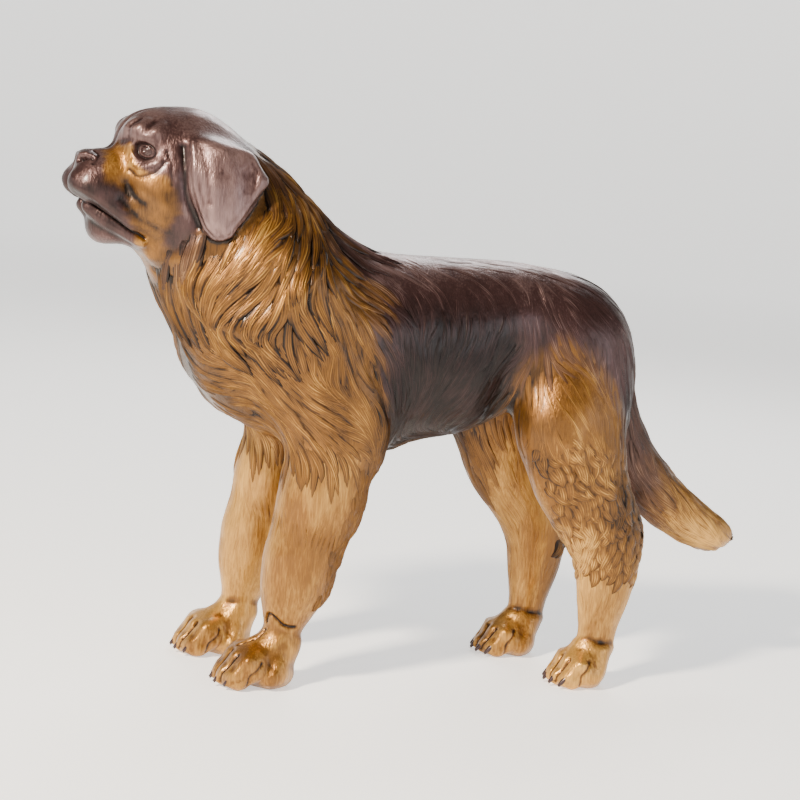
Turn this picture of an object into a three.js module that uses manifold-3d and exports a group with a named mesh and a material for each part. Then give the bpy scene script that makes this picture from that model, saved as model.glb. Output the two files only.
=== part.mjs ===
// A life-size cast statue of a standing Saint Bernard, in millimetres.
// The dog faces -X, its left side is -Y and its plane of symmetry is y = 0. Up is +Z.

import * as THREE from "three";
import Module from "manifold-3d";
import { MarchingCubes } from "three/addons/objects/MarchingCubes.js";
import { SimplifyModifier } from "three/addons/modifiers/SimplifyModifier.js";
import { mergeVertices } from "three/addons/utils/BufferGeometryUtils.js";

const wasm = await Module();
wasm.setup();

// Driving dimensions
const FLOOR = -8; // level of the soles
const WITHERS = 708; // level of the back above the shoulders
const LEG_OUT = 102; // from the plane of symmetry to the middle of a paw
const FAR_FORE = -17; // the right foreleg stands this much ahead of the left
const FAR_HIND = -46; // the right hind leg stands this much ahead of the left
const EYE = { x: -478, y: 48, z: 837, r: 15 };
const JOINT = 0.3; // gap between two castings that meet at a flat cut
const FIT = 0.8; // clearance round a casting that is let into its neighbour

// Signed distances, negative inside. Each maker returns a function of x, y and z.
const ball = (x, y, z, rx, ry = rx, rz = rx, pitch = 0) => {
  const c = Math.cos(THREE.MathUtils.degToRad(pitch));
  const s = Math.sin(THREE.MathUtils.degToRad(pitch));
  return (px, py, pz) => {
    const dx = px - x;
    const dz = pz - z;
    const u = (dx * c - dz * s) / rx;
    const v = (py - y) / ry;
    const w = (dx * s + dz * c) / rz;
    const near = Math.hypot(u, v, w);
    return (near * (near - 1)) / (Math.hypot(u / rx, v / ry, w / rz) + 1e-9);
  };
};

// A tapered limb from a to b with radii ra and rb, thinned across Y by flat.
const limb = (a, ra, b, rb, flat = 1) => {
  const [bx, by, bz] = [b[0] - a[0], (b[1] - a[1]) / flat, b[2] - a[2]];
  const long2 = bx * bx + by * by + bz * bz;
  return (px, py, pz) => {
    const [x, y, z] = [px - a[0], (py - a[1]) / flat, pz - a[2]];
    const along = THREE.MathUtils.clamp((x * bx + y * by + z * bz) / long2, 0, 1);
    const off = Math.hypot(x - bx * along, y - by * along, z - bz * along);
    return (off - THREE.MathUtils.lerp(ra, rb, along)) * flat;
  };
};

// A chain of limbs through stations of [x, y, z, radius].
const chain = (stations, flat, soft) =>
  melt(soft, ...stations.slice(1).map((end, i) => {
    const start = stations[i];
    return limb(start.slice(0, 3), start[3], end.slice(0, 3), end[3], flat);
  }));

const softMin = (a, b, k) => {
  const h = Math.max(k - Math.abs(a - b), 0) / k;
  return Math.min(a, b) - (h * h * k) / 4;
};
const melt = (k, ...forms) => (x, y, z) =>
  forms.reduce((d, form) => softMin(d, form(x, y, z), k), 1e3);
const hollow = (k, form, ...tools) => (x, y, z) =>
  tools.reduce((d, tool) => -softMin(-d, tool(x, y, z), k), form(x, y, z));
const bothSides = (form) => (x, y, z) => form(x, Math.abs(y), z);

// Masses of the trunk
const trunk = bothSides(melt(38,
  ball(-130, 0, 540, 212, 136, WITHERS - 540),
  ball(-232, 0, 552, 160, 138, 150),
  ball(30, 0, 548, 185, 126, 154),
  ball(165, 0, 590, 170, 108, 113),
  ball(272, 0, 580, 114, 108, 104, -14),
  ball(-200, 92, 545, 92, 54, 148, -14),
  ball(-130, 104, 450, 80, 50, 92, 14),
  ball(284, 76, 505, 98, 56, 142, 10),
  ball(-66, 0, 404, 72, 74, 36, -10),
));
const neck = bothSides(melt(40,
  limb([-410, 0, 781], 112, [-312, 0, 672], 131, 0.85),
  limb([-312, 0, 672], 131, [-232, 0, 590], 153, 0.9),
  limb([-345, 0, 796], 73, [-205, 0, 675], 72, 1.1),
));
const ruff = bothSides(melt(30,
  ball(-262, 80, 650, 78, 62, 118, -38),
  ball(-318, 66, 592, 66, 64, 82, -30),
));

// Masses of the head
const skull = melt(24,
  ball(-414, 0, 804, 104, 96, 107),
  ball(-468, 0, 842, 60, 66, 61),
  ball(-438, 56, 784, 58, 36, 48),
  ball(-444, 50, 746, 54, 38, 48),
);
const muzzle = melt(20,
  limb([-494, 0, 804], 43, [-556, 0, 800], 33, 1.18),
  ball(-548, 25, 772, 44, 31, 44),
  limb([-562, 27, 768], 32, [-500, 42, 734], 32, 0.9),
);
const brow = melt(12,
  ball(-496, 38, 866, 19, 20, 13, 18),
  ball(-472, 56, 864, 16, 13, 9),
);
const jawForm = bothSides(melt(16,
  ball(-532, 0, 718, 31, 37, 35, 24),
  limb([-518, 14, 720], 30, [-462, 26, 718], 44, 0.9),
  limb([-562, 20, 742], 12, [-490, 46, 702], 12, 1),
));
const socket = ball(EYE.x - 10, EYE.y + 13, EYE.z + 1, 17, 15, 14);
const headForm = bothSides(hollow(8,
  melt(14, skull, muzzle, brow),
  socket,
  limb([-598, 0, 800], 6, [-596, 0, 756], 8),
));

// Legs, by stations of [x, height, radius]
const FORE = [[-150, 400, 75], [-166, 300, 65], [-190, 205, 56], [-198, 150, 48], [-209, 84, 32]];
const HIND = [
  [262, 430, 97], [290, 351, 76], [317, 301, 62], [346, 255, 53], [361, 214, 48], [358, 150, 38], [352, 66, 34],
];
const legForm = (stations, side, shift, flat) =>
  chain(stations.map(([x, z, r]) => [x + shift, side * LEG_OUT, z, r]), flat, 26);

// A paw with four toes and a claw on each. heel and toe are X, size scales its height and width.
const pawForm = (heel, toe, side, size) => {
  const across = [-34, -12, 12, 34].map((w) => w * size);
  const y0 = side * LEG_OUT;
  const knuckle = toe + 54 * size;
  const toes = across.map((w) => {
    const reach = toe + Math.abs(w) * 0.42;
    return melt(5,
      limb([knuckle, y0 + w * 0.9, FLOOR + 42 * size], 21 * size,
        [reach + 20, y0 + w * 1.08, FLOOR + 17 * size], 19 * size),
      limb([reach + 8, y0 + w * 1.08, FLOOR + 14 * size], 6, [reach - 4, y0 + w * 1.1, FLOOR + 6], 3),
    );
  });
  return melt(9,
    melt(16,
      limb([heel, y0, 56], 31 * size, [knuckle, y0, FLOOR + 38 * size], 29 * size, 1.1),
      ball(heel - 18, y0, FLOOR + 20, 42 * size, 40 * size, 30),
    ),
    ...toes);
};

// Tail, by stations of [x, 0, height, radius]
const tailForm = chain([
  [340, 0, 622, 36], [366, 0, 560, 42], [370, 0, 498, 42], [384, 0, 440, 42], [418, 0, 378, 43],
  [468, 0, 325, 42], [516, 0, 286, 40], [561, 0, 260, 35], [603, 0, 245, 28], [634, 0, 238, 20],
], 0.86, 24);

// An ear is a broad flap, folded at its root, with a corner behind and the tip below.
const earForm = (side) => melt(14,
  limb([-412, side * 84, 858], 15, [-330, side * 96, 842], 15),
  limb([-410, side * 96, 835], 12, [-384, side * 108, 740], 11),
  limb([-330, side * 96, 842], 14, [-312, side * 104, 808], 10),
  limb([-312, side * 104, 808], 10, [-366, side * 112, 728], 10),
  ball(-374, side * 103, 800, 52, 12, 58),
  ball(-372, side * 108, 752, 26, 10, 42),
);

// The whole animal as one form, and its eyelids, which the head adds
const lids = bothSides(melt(5,
  limb([-491, 45, 839], 4, [-486, 56, 852], 5),
  limb([-486, 56, 852], 5, [-467, 63, 843], 4),
  limb([-492, 46, 834], 4, [-484, 60, 824], 5),
  limb([-484, 60, 824], 5, [-468, 64, 831], 4),
  limb([-494, 52, 816], 5, [-476, 63, 813], 5),
));
const dogForm = melt(30,
  melt(14, melt(5, headForm, lids), neck),
  ruff,
  trunk,
  legForm(FORE, -1, 0, 0.8),
  legForm(FORE, 1, FAR_FORE, 0.8),
  legForm(HIND, -1, 0, 0.66),
  legForm(HIND, 1, FAR_HIND, 0.66),
);

// The surface of a form inside a box, as one closed geometry of about the given number of triangles.
async function surface(form, limits, cell, triangles) {
  const middle = limits.getCenter(new THREE.Vector3());
  const reach = Math.max(...limits.getSize(new THREE.Vector3()).toArray()) / 2;
  const place = new THREE.Vector3();
  const size = 2 * Math.ceil(reach / cell + 3);
  const cubes = new MarchingCubes(size, new THREE.MeshStandardMaterial(), false, false, 150000);
  cubes.isolation = 0;
  const at = (i, c) => (i - size / 2) * cell + c;
  for (let k = 0; k < size; k += 1) {
    for (let j = 0; j < size; j += 1) {
      for (let i = 0; i < size; i += 1) {
        place.set(at(i, middle.x), at(j, middle.y), at(k, middle.z));
        const outside = !limits.containsPoint(place);
        cubes.field[i + size * (j + size * k)] = outside ? -cell : -form(place.x, place.y, place.z);
      }
    }
  }
  cubes.update();
  const places = cubes.positionArray.slice(0, cubes.count * 3);
  const rough = new THREE.BufferGeometry().setAttribute("position", new THREE.BufferAttribute(places, 3));
  rough.scale(...Array(3).fill((size / 2) * cell)).translate(...middle.toArray());
  const fine = mergeVertices(rough, 1e-2);
  const spare = fine.attributes.position.count - triangles / 2;
  return new SimplifyModifier().modify(fine, Math.max(0, Math.floor(spare)));
}

// Solids
const solidOf = (geometry) => {
  const bare = new THREE.BufferGeometry().setAttribute("position", geometry.attributes.position);
  bare.setIndex(geometry.index);
  const merged = mergeVertices(bare.index ? bare.toNonIndexed() : bare, 1e-3);
  return new wasm.Manifold(new wasm.Mesh({
    numProp: 3,
    vertProperties: merged.attributes.position.array,
    triVerts: new Uint32Array(merged.index.array),
  }));
};
const geometryOf = (solid) => {
  const mesh = solid.getMesh();
  return new THREE.BufferGeometry()
    .setAttribute("position", new THREE.BufferAttribute(mesh.vertProperties, 3))
    .setIndex(new THREE.BufferAttribute(mesh.triVerts, 1));
};

// A solid with every vertex moved out along its normal.
const grown = (solid, by) => {
  const geometry = geometryOf(solid);
  geometry.computeVertexNormals();
  const { position, normal } = geometry.attributes;
  for (let i = 0; i < position.array.length; i += 1) {
    position.array[i] += normal.array[i] * by;
  }
  return solidOf(geometry);
};
const largest = (solid) => solid.decompose().reduce((a, b) => (b.volume() > a.volume() ? b : a));
const clearOf = (solid, ...neighbours) =>
  largest(neighbours.reduce((left, other) => left.subtract(grown(other, FIT)).subtract(other), solid));

// Locks of the carved coat

// The nearest place on the hide to a given place, and the way out of it there.
function onHide(form, place) {
  const point = place.clone();
  const out = new THREE.Vector3();
  const step = 1.5;
  for (let pass = 0; pass < 4; pass += 1) {
    const { x, y, z } = point;
    const here = form(x, y, z);
    out.set(form(x + step, y, z) - here, form(x, y + step, z) - here, form(x, y, z + step) - here);
    out.normalize();
    point.addScaledVector(out, -here);
  }
  return { point, out };
}

// One lock: a lathed tongue laid flat along the hide, its root and its tip sunk in.
const TURNS = 5;
const PER_LOCK = 31; // triangles that one lock adds to its casting
const REACH = [0, 0.12, 0.38, 0.74, 1];
const FULL = [0, 0.74, 1, 0.6, 0];
const RISE = [-1, -0.4, 0, 0.1, -0.2];
function lock(form, start, heading, { long, wide, thick, sway = 0, lift = 0 }) {
  const way = new THREE.Vector3(...heading);
  const place = new THREE.Vector3(...start);
  const rings = [];
  let along = 0;
  for (const [i, share] of REACH.entries()) {
    const { point, out } = onHide(form, place);
    way.addScaledVector(out, -way.dot(out)).normalize();
    const across = new THREE.Vector3().crossVectors(way, out);
    const raised = (RISE[i] + lift * share * share) * thick;
    rings.push({ centre: point.clone().addScaledVector(out, raised), across, out });
    const next = REACH[i + 1] ?? 1;
    const bend = Math.cos(share * Math.PI * 1.8) * sway;
    way.applyAxisAngle(out, bend * (next - share));
    place.copy(point).addScaledVector(way, (next - share) * long);
    along = next;
  }
  const profile = FULL.map((full, i) => new THREE.Vector2(full, REACH[i]));
  const tongue = new THREE.LatheGeometry(profile, TURNS);
  const { position } = tongue.attributes;
  for (let v = 0; v < position.count; v += 1) {
    const ring = rings[v % rings.length];
    const place2 = ring.centre.clone()
      .addScaledVector(ring.across, (position.getX(v) * wide) / 2)
      .addScaledVector(ring.out, position.getZ(v) * thick);
    position.setXYZ(v, place2.x, place2.y, place2.z);
  }
  return solidOf(tongue);
}

// A repeatable run of numbers from 0 to 1
let seed = 7;
const chance = () => {
  seed = (seed * 1664525 + 1013904223) % 4294967296;
  return seed / 4294967296;
};
const about = (value, spread) => value + (chance() - 0.5) * 2 * spread;

// Rows of locks, each from one end to the other, with the way that they flow
const ROWS = [
  // ruff, from behind the ear to the throat
  { count: 8, from: [-178, 105, 700], to: [-372, 80, 565], flow: [-0.42, 0, -1], long: 132, wide: 42, thick: 14 },
  { count: 7, from: [-225, 110, 755], to: [-392, 100, 655], flow: [-0.5, 0, -1], long: 140, wide: 40, thick: 11 },
  // chest
  { count: 4, from: [-395, 34, 555], to: [-330, 110, 530], flow: [0.3, 0.1, -1], long: 104, wide: 38, thick: 8 },
  { count: 4, from: [-350, 30, 472], to: [-268, 96, 462], flow: [0.75, 0.1, -0.8], long: 96, wide: 36, thick: 7 },
  // shoulder, upper arm and elbow
  { count: 4, from: [-205, 140, 650], to: [-70, 130, 660], flow: [0.2, 0, -1], long: 150, wide: 42, thick: 8 },
  { count: 4, from: [-240, 150, 525], to: [-110, 150, 530], flow: [0.3, 0, -1], long: 118, wide: 38, thick: 8 },
  { count: 3, from: [-92, 130, 450], to: [-66, 120, 400], flow: [0.2, 0, -1], long: 92, wide: 32, thick: 12, lift: 0.5 },
  // barrel and flank
  { count: 4, from: [-20, 130, 575], to: [140, 110, 575], flow: [0.12, 0, -1], long: 150, wide: 42, thick: 7 },
  { count: 4, from: [20, 90, 462], to: [150, 80, 480], flow: [0.4, 0, -1], long: 88, wide: 32, thick: 8, lift: 0.4 },
  // back of the thigh, and its outer face with short curled locks
  { count: 6, from: [382, 60, 530], to: [378, 96, 300], flow: [0.1, 0.15, -1], long: 80, wide: 32, thick: 10, lift: 0.4 },
  { count: 5, from: [225, 150, 440], to: [352, 140, 430], flow: [0.25, 0, -1], long: 66, wide: 32, thick: 9 },
  { count: 4, from: [262, 140, 372], to: [352, 136, 350], flow: [0.35, 0, -1], long: 60, wide: 30, thick: 9 },
  // back of the foreleg
  { count: 4, from: [-98, 106, 335], to: [-145, 104, 195], flow: [0, 0, -1], long: 72, wide: 26, thick: 7 },
];
const TAIL_ROWS = [
  { count: 5, from: [366, 22, 470], to: [550, 20, 240], flow: [0.7, 0, -0.9], long: 100, wide: 30, thick: 8, lift: 0.3 },
  { count: 4, from: [405, 30, 470], to: [580, 26, 268], flow: [0.75, 0, -0.65], long: 104, wide: 30, thick: 7 },
];

function comb(form, rows) {
  const locks = [];
  for (const side of [-1, 1]) {
    for (const { count, from, to, flow, long, wide, thick, lift } of rows) {
      for (let i = 0; i < count; i += 1) {
        const share = count > 1 ? i / (count - 1) : 0.5;
        const [x, y, z] = from.map((start, axis) => about(THREE.MathUtils.lerp(start, to[axis], share), 6));
        const heading = [about(flow[0], 0.12), side * flow[1], flow[2]];
        const shape = { long: about(long, long * 0.12), wide: about(wide, 4), thick, lift, sway: about(0, 1.1) };
        locks.push(lock(form, [x, side * y, z], heading, shape));
      }
    }
  }
  return locks;
}
const wearing = (solid, locks) => locks.reduce((whole, one) => whole.add(one), solid);

// True where two sheets of a surface meet along one edge, as no casting may.
function pinched(geometry) {
  const corners = geometry.index.array;
  const edges = new Set();
  for (let i = 0; i < corners.length; i += 1) {
    const next = i % 3 === 2 ? corners[i - 2] : corners[i + 1];
    edges.add(`${corners[i]} ${next}`);
  }
  return edges.size < corners.length;
}

// The slivers that a union leaves where locks cross are taken up into their neighbours.
async function thinned(solid, triangles) {
  const joined = mergeVertices(geometryOf(solid).toNonIndexed(), 1e-3);
  for (let allowed = triangles; ; allowed += 24) {
    const spare = Math.floor(joined.attributes.position.count - allowed / 2);
    const thin = spare > 0 ? await new SimplifyModifier().modify(joined, spare) : joined;
    if (spare <= 0 || !pinched(thin)) {
      return solidOf(thin);
    }
  }
}

// A big block whose one face lies on a cut: through a point, facing the way given, set off by half the gap.
const BLOCK = 2400;
const beyond = (point, facing) => {
  const out = new THREE.Vector3(...facing).normalize();
  const block = new THREE.BoxGeometry(BLOCK, BLOCK, BLOCK);
  block.translate(0, 0, BLOCK / 2 - JOINT / 2);
  block.applyQuaternion(new THREE.Quaternion().setFromUnitVectors(new THREE.Vector3(0, 0, 1), out));
  block.translate(...point);
  return solidOf(block);
};
const cutAway = (solid, ...cuts) =>
  largest(cuts.reduce((left, [point, facing]) => left.subtract(beyond(point, facing)), solid));
const facingBack = ([point, facing]) => [point, facing.map((n) => -n)];

// Where one casting meets the next: a point and the way that the cut faces
const CUTS = {
  nape: [[-395, 0, 780], [0.85, 0, -0.53]],
  mouth: [[-530, 0, 733], [-0.52, 0, -0.85]],
  shoulders: [[-255, 0, 640], [0.64, 0, -0.77]],
  elbow: [[-150, 0, 352], [-0.1, 0, -1]],
  groin: [[262, 0, 430], [0.25, 0, -1]],
  hock: [[360, 0, 200], [-0.1, 0, -1]],
  forePastern: [[-208, 0, 84], [-0.4, 0, -1]],
  hindPastern: [[352, 0, 66], [-0.15, 0, -1]],
  tailRoot: [[366, 0, 596], [0.3, 0, -1]],
  floor: [[0, 0, FLOOR - JOINT / 2], [0, 0, -1]],
};
const shifted = ([point, facing], dx) => [[point[0] + dx, point[1], point[2]], facing];

// The solid of a form inside limits, wearing each lock that grows there.
const cast = async (form, limits, cell, triangles, locks = []) => {
  const [low, high] = [limits.slice(0, 3), limits.slice(3)];
  const within = new THREE.Box3(new THREE.Vector3(...low), new THREE.Vector3(...high));
  const own = locks.filter((one) => {
    const { min, max } = one.boundingBox();
    return within.intersectsBox(new THREE.Box3(new THREE.Vector3(...min), new THREE.Vector3(...max)));
  });
  const dressed = wearing(solidOf(await surface(form, within, cell, triangles)), own);
  return own.length ? thinned(dressed, triangles + own.length * PER_LOCK) : dressed;
};
const coat = comb(dogForm, ROWS);
const brush = comb(tailForm, TAIL_ROWS);

// Head, with the eyes and the nose let into it, and the lower jaw under the lip line
async function makeHead() {
  const noseForm = bothSides(hollow(2,
    melt(10, ball(-567, 0, 815, 21, 24, 18), ball(-564, 15, 812, 18, 13, 15)),
    limb([-592, 14, 811], 5, [-578, 18, 812], 4.5, 1),
    limb([-582, 21, 806], 3, [-566, 29, 803], 3, 1),
  ));
  const nose = await cast(noseForm, [-600, -40, 785, -545, 40, 840], 2, 260);
  const [eyeLeft, eyeRight] = [-1, 1].map((side) =>
    solidOf(new THREE.SphereGeometry(EYE.r, 10, 8).translate(EYE.x, side * EYE.y, EYE.z)));
  const skullAndFace = await cast(dogForm, [-620, -120, 640, -300, 120, 930], 4, 3000);
  const head = clearOf(cutAway(skullAndFace, CUTS.nape, CUTS.mouth), eyeLeft, eyeRight, nose);
  const chin = await cast(melt(12, jawForm, neck), [-600, -90, 640, -400, 90, 780], 4, 520);
  const jaw = cutAway(chin, CUTS.nape, facingBack(CUTS.mouth));
  return { head, jaw, nose, eye_left: eyeLeft, eye_right: eyeRight };
}

async function makeBody() {
  const hide = await cast(dogForm, [-460, -190, 320, 440, 190, 760], 10, 1700, coat);
  const tailWhole = await cast(tailForm, [300, -60, 190, 670, 60, 670], 7, 360, brush);
  const tail = cutAway(tailWhole, facingBack(CUTS.tailRoot));
  const torso = clearOf(cutAway(hide, CUTS.elbow, facingBack(CUTS.shoulders), CUTS.groin), tail);
  const scruff = await cast(dogForm, [-560, -170, 450, -60, 170, 925], 8, 900, coat);
  const neckSolid = cutAway(scruff, facingBack(CUTS.nape), CUTS.shoulders);
  return { torso, neck: neckSolid, tail };
}

async function makeSide(word, side, head, neckSolid) {
  const [fore, hind] = side < 0 ? [0, 0] : [FAR_FORE, FAR_HIND];
  const y0 = side * LEG_OUT;
  const [low, high] = [y0 - 90, y0 + 90];
  const hindCut = shifted(CUTS.hock, hind);
  const paws = melt(18, dogForm, pawForm(-210 + fore, -324 + fore, side, 1.06),
    pawForm(353 + hind, 266 + hind * 1.2, side, 0.95));
  const arm = await cast(dogForm, [-310, low, 40, 0, high, 460], 8, 400, coat);
  const ham = await cast(dogForm, [60, low, 40, 440, high, 560], 8, 460, coat);
  const shin = await cast(dogForm, [200, low, 40, 440, high, 240], 6, 260);
  const hand = await cast(paws, [-370, low, -30, -140, high, 130], 4, 440);
  const foot = await cast(paws, [200, low, -30, 430, high, 110], 4, 400);
  const ear = await cast(earForm(side), [-450, y0 - 40, 690, -280, y0 + 40, 900], 4, 300);
  return {
    [`foreleg_${word}`]: cutAway(arm, facingBack(CUTS.elbow), shifted(CUTS.forePastern, fore)),
    [`thigh_${word}`]: cutAway(ham, facingBack(CUTS.groin), hindCut),
    [`hind_pastern_${word}`]: cutAway(shin, facingBack(hindCut), shifted(CUTS.hindPastern, hind)),
    [`front_paw_${word}`]: cutAway(hand, CUTS.floor, facingBack(shifted(CUTS.forePastern, fore))),
    [`hind_paw_${word}`]: cutAway(foot, CUTS.floor, facingBack(shifted(CUTS.hindPastern, hind))),
    [`ear_${word}`]: clearOf(ear, head, neckSolid),
  };
}

const castings = { ...await makeHead(), ...await makeBody() };
for (const [word, side] of [["left", -1], ["right", 1]]) {
  Object.assign(castings, await makeSide(word, side, castings.head, castings.neck));
}

// Finish: dark brown patina above, warm gold on the legs and the lower face
const finish = (color, roughness) => new THREE.MeshStandardMaterial({ color, roughness, metalness: 0.85 });
const DARK = finish("#4a3430", 0.42);
const GOLD = finish("#a87838", 0.4);
const isDark = (name) => /^(head|nose|ear|eye|torso)/.test(name);

const statue = new THREE.Group();
for (const [name, solid] of Object.entries(castings)) {
  const mesh = new THREE.Mesh(geometryOf(solid), isDark(name) ? DARK : GOLD);
  mesh.name = name;
  statue.add(mesh);
}

// The origin is the middle of the statue's box, on the floor
const middle = new THREE.Box3().setFromObject(statue).getCenter(new THREE.Vector3());
statue.position.set(-middle.x, -middle.y, -FLOOR);
const dog = new THREE.Group();
dog.add(statue);

export default dog;
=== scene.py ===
"""A life-size bronze statue of a long-haired saint bernard: cast hide, carved coat, eyes and claws."""

import logging
import math
from collections.abc import Callable
from dataclasses import dataclass
from enum import Enum
from typing import ClassVar

import bmesh
import bpy
import numpy as np
from mathutils import Matrix, Vector
from mathutils.bvhtree import BVHTree


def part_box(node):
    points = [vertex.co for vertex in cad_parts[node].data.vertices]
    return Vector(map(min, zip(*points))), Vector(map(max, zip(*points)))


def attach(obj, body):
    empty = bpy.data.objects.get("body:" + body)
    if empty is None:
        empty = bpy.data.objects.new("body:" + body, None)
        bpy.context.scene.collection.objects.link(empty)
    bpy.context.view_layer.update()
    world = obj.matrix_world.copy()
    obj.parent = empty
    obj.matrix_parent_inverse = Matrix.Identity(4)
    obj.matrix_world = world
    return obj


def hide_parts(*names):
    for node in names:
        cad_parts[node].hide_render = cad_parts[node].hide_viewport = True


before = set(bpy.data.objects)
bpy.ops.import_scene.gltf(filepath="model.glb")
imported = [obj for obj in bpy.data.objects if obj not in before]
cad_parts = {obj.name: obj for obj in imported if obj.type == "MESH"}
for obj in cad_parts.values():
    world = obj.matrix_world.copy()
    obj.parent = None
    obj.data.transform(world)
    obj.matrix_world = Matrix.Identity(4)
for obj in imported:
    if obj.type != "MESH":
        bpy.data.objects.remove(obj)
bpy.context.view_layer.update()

logging.basicConfig(level=logging.INFO, format="%(name)s: %(message)s")
log = logging.getLogger("statue")

# Places are given in the sculptor's millimetres, X back from the withers' zero, Y to the right and Z up
MM = 0.001
EYE_X = -478
EYE_Y = 48
EYE_Z = 837
EYE_RADIUS = 15
FLOOR_Z = -8  # the level of the soles
LEG_OUT = 102  # from the plane of symmetry to the middle of a leg

_eye_low, _eye_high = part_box("eye_left")
SHIFT = (_eye_low + _eye_high) / 2 - Vector((EYE_X, -EYE_Y, EYE_Z)) * MM

Array = np.ndarray
Region = Callable[[Array], Array]  # says of each place whether it lies in a region


class Slot(Enum):
    """The material slots of the record."""

    GOLD = "gold_patina"
    BROWN = "brown_patina"


def to_frame(points: Array) -> Array:
    """Turns sculptor's millimetres into metres of the part's frame."""
    return points * MM + np.array(SHIFT)


def to_sculptor(points: Array) -> Array:
    """Turns metres of the part's frame into sculptor's millimetres."""
    return (points - np.array(SHIFT)) / MM


def unit(vectors: Array) -> Array:
    """Brings every vector in the last axis to length one."""
    return vectors / np.maximum(np.linalg.norm(vectors, axis=-1, keepdims=True), 1e-9)


def ease(values: Array, start: float, end: float) -> Array:
    """A smooth step from 0 at start to 1 at end, which may lie either way round."""
    share = np.clip((values - start) / (end - start), 0, 1)
    return share * share * (3 - 2 * share)


def linear(colour: str) -> tuple[float, float, float, float]:
    """Turns an sRGB hex colour into the linear one that shaders take."""
    parts = [int(colour[i : i + 2], 16) / 255 for i in (1, 3, 5)]
    return tuple(p / 12.92 if p <= 0.04045 else ((p + 0.055) / 1.055) ** 2.4 for p in parts) + (1.0,)


def smooth_object(mesh: bpy.types.Mesh) -> bpy.types.Object:
    """Makes an object of a mesh, shaded smooth and named as the mesh is.

    Args:
        mesh: The finished mesh.

    Returns:
        The object, which stands in the scene.
    """
    mesh.polygons.foreach_set("use_smooth", np.ones(len(mesh.polygons), bool))
    thing = bpy.data.objects.new(mesh.name, mesh)
    bpy.context.scene.collection.objects.link(thing)
    return thing


def waves(points: Array, length: float, seed: int) -> Array:
    """A smooth random field between about -1 and 1, made of a few crossing waves.

    Args:
        points: Places in sculptor's millimetres.
        length: Typical length of a wave in millimetres.
        seed: Which field it is.

    Returns:
        One value for each point.
    """
    draw = np.random.default_rng(seed)
    total = np.zeros(len(points))
    for _ in range(6):
        way = unit(draw.normal(size=3)) * 2 * math.pi / (length * draw.uniform(0.7, 1.5))
        total += np.sin(points @ way + draw.uniform(0, 2 * math.pi))
    return total / 2.6


@dataclass(frozen=True)
class Spot:
    """A patch of gold on the side of the face: an ellipse with a torn border, in shares of its own size."""

    x: float
    z: float
    half_long: float
    half_tall: float
    whole: float  # share of its size out to which it is whole
    gone: float  # share of its size where it has gone


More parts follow.
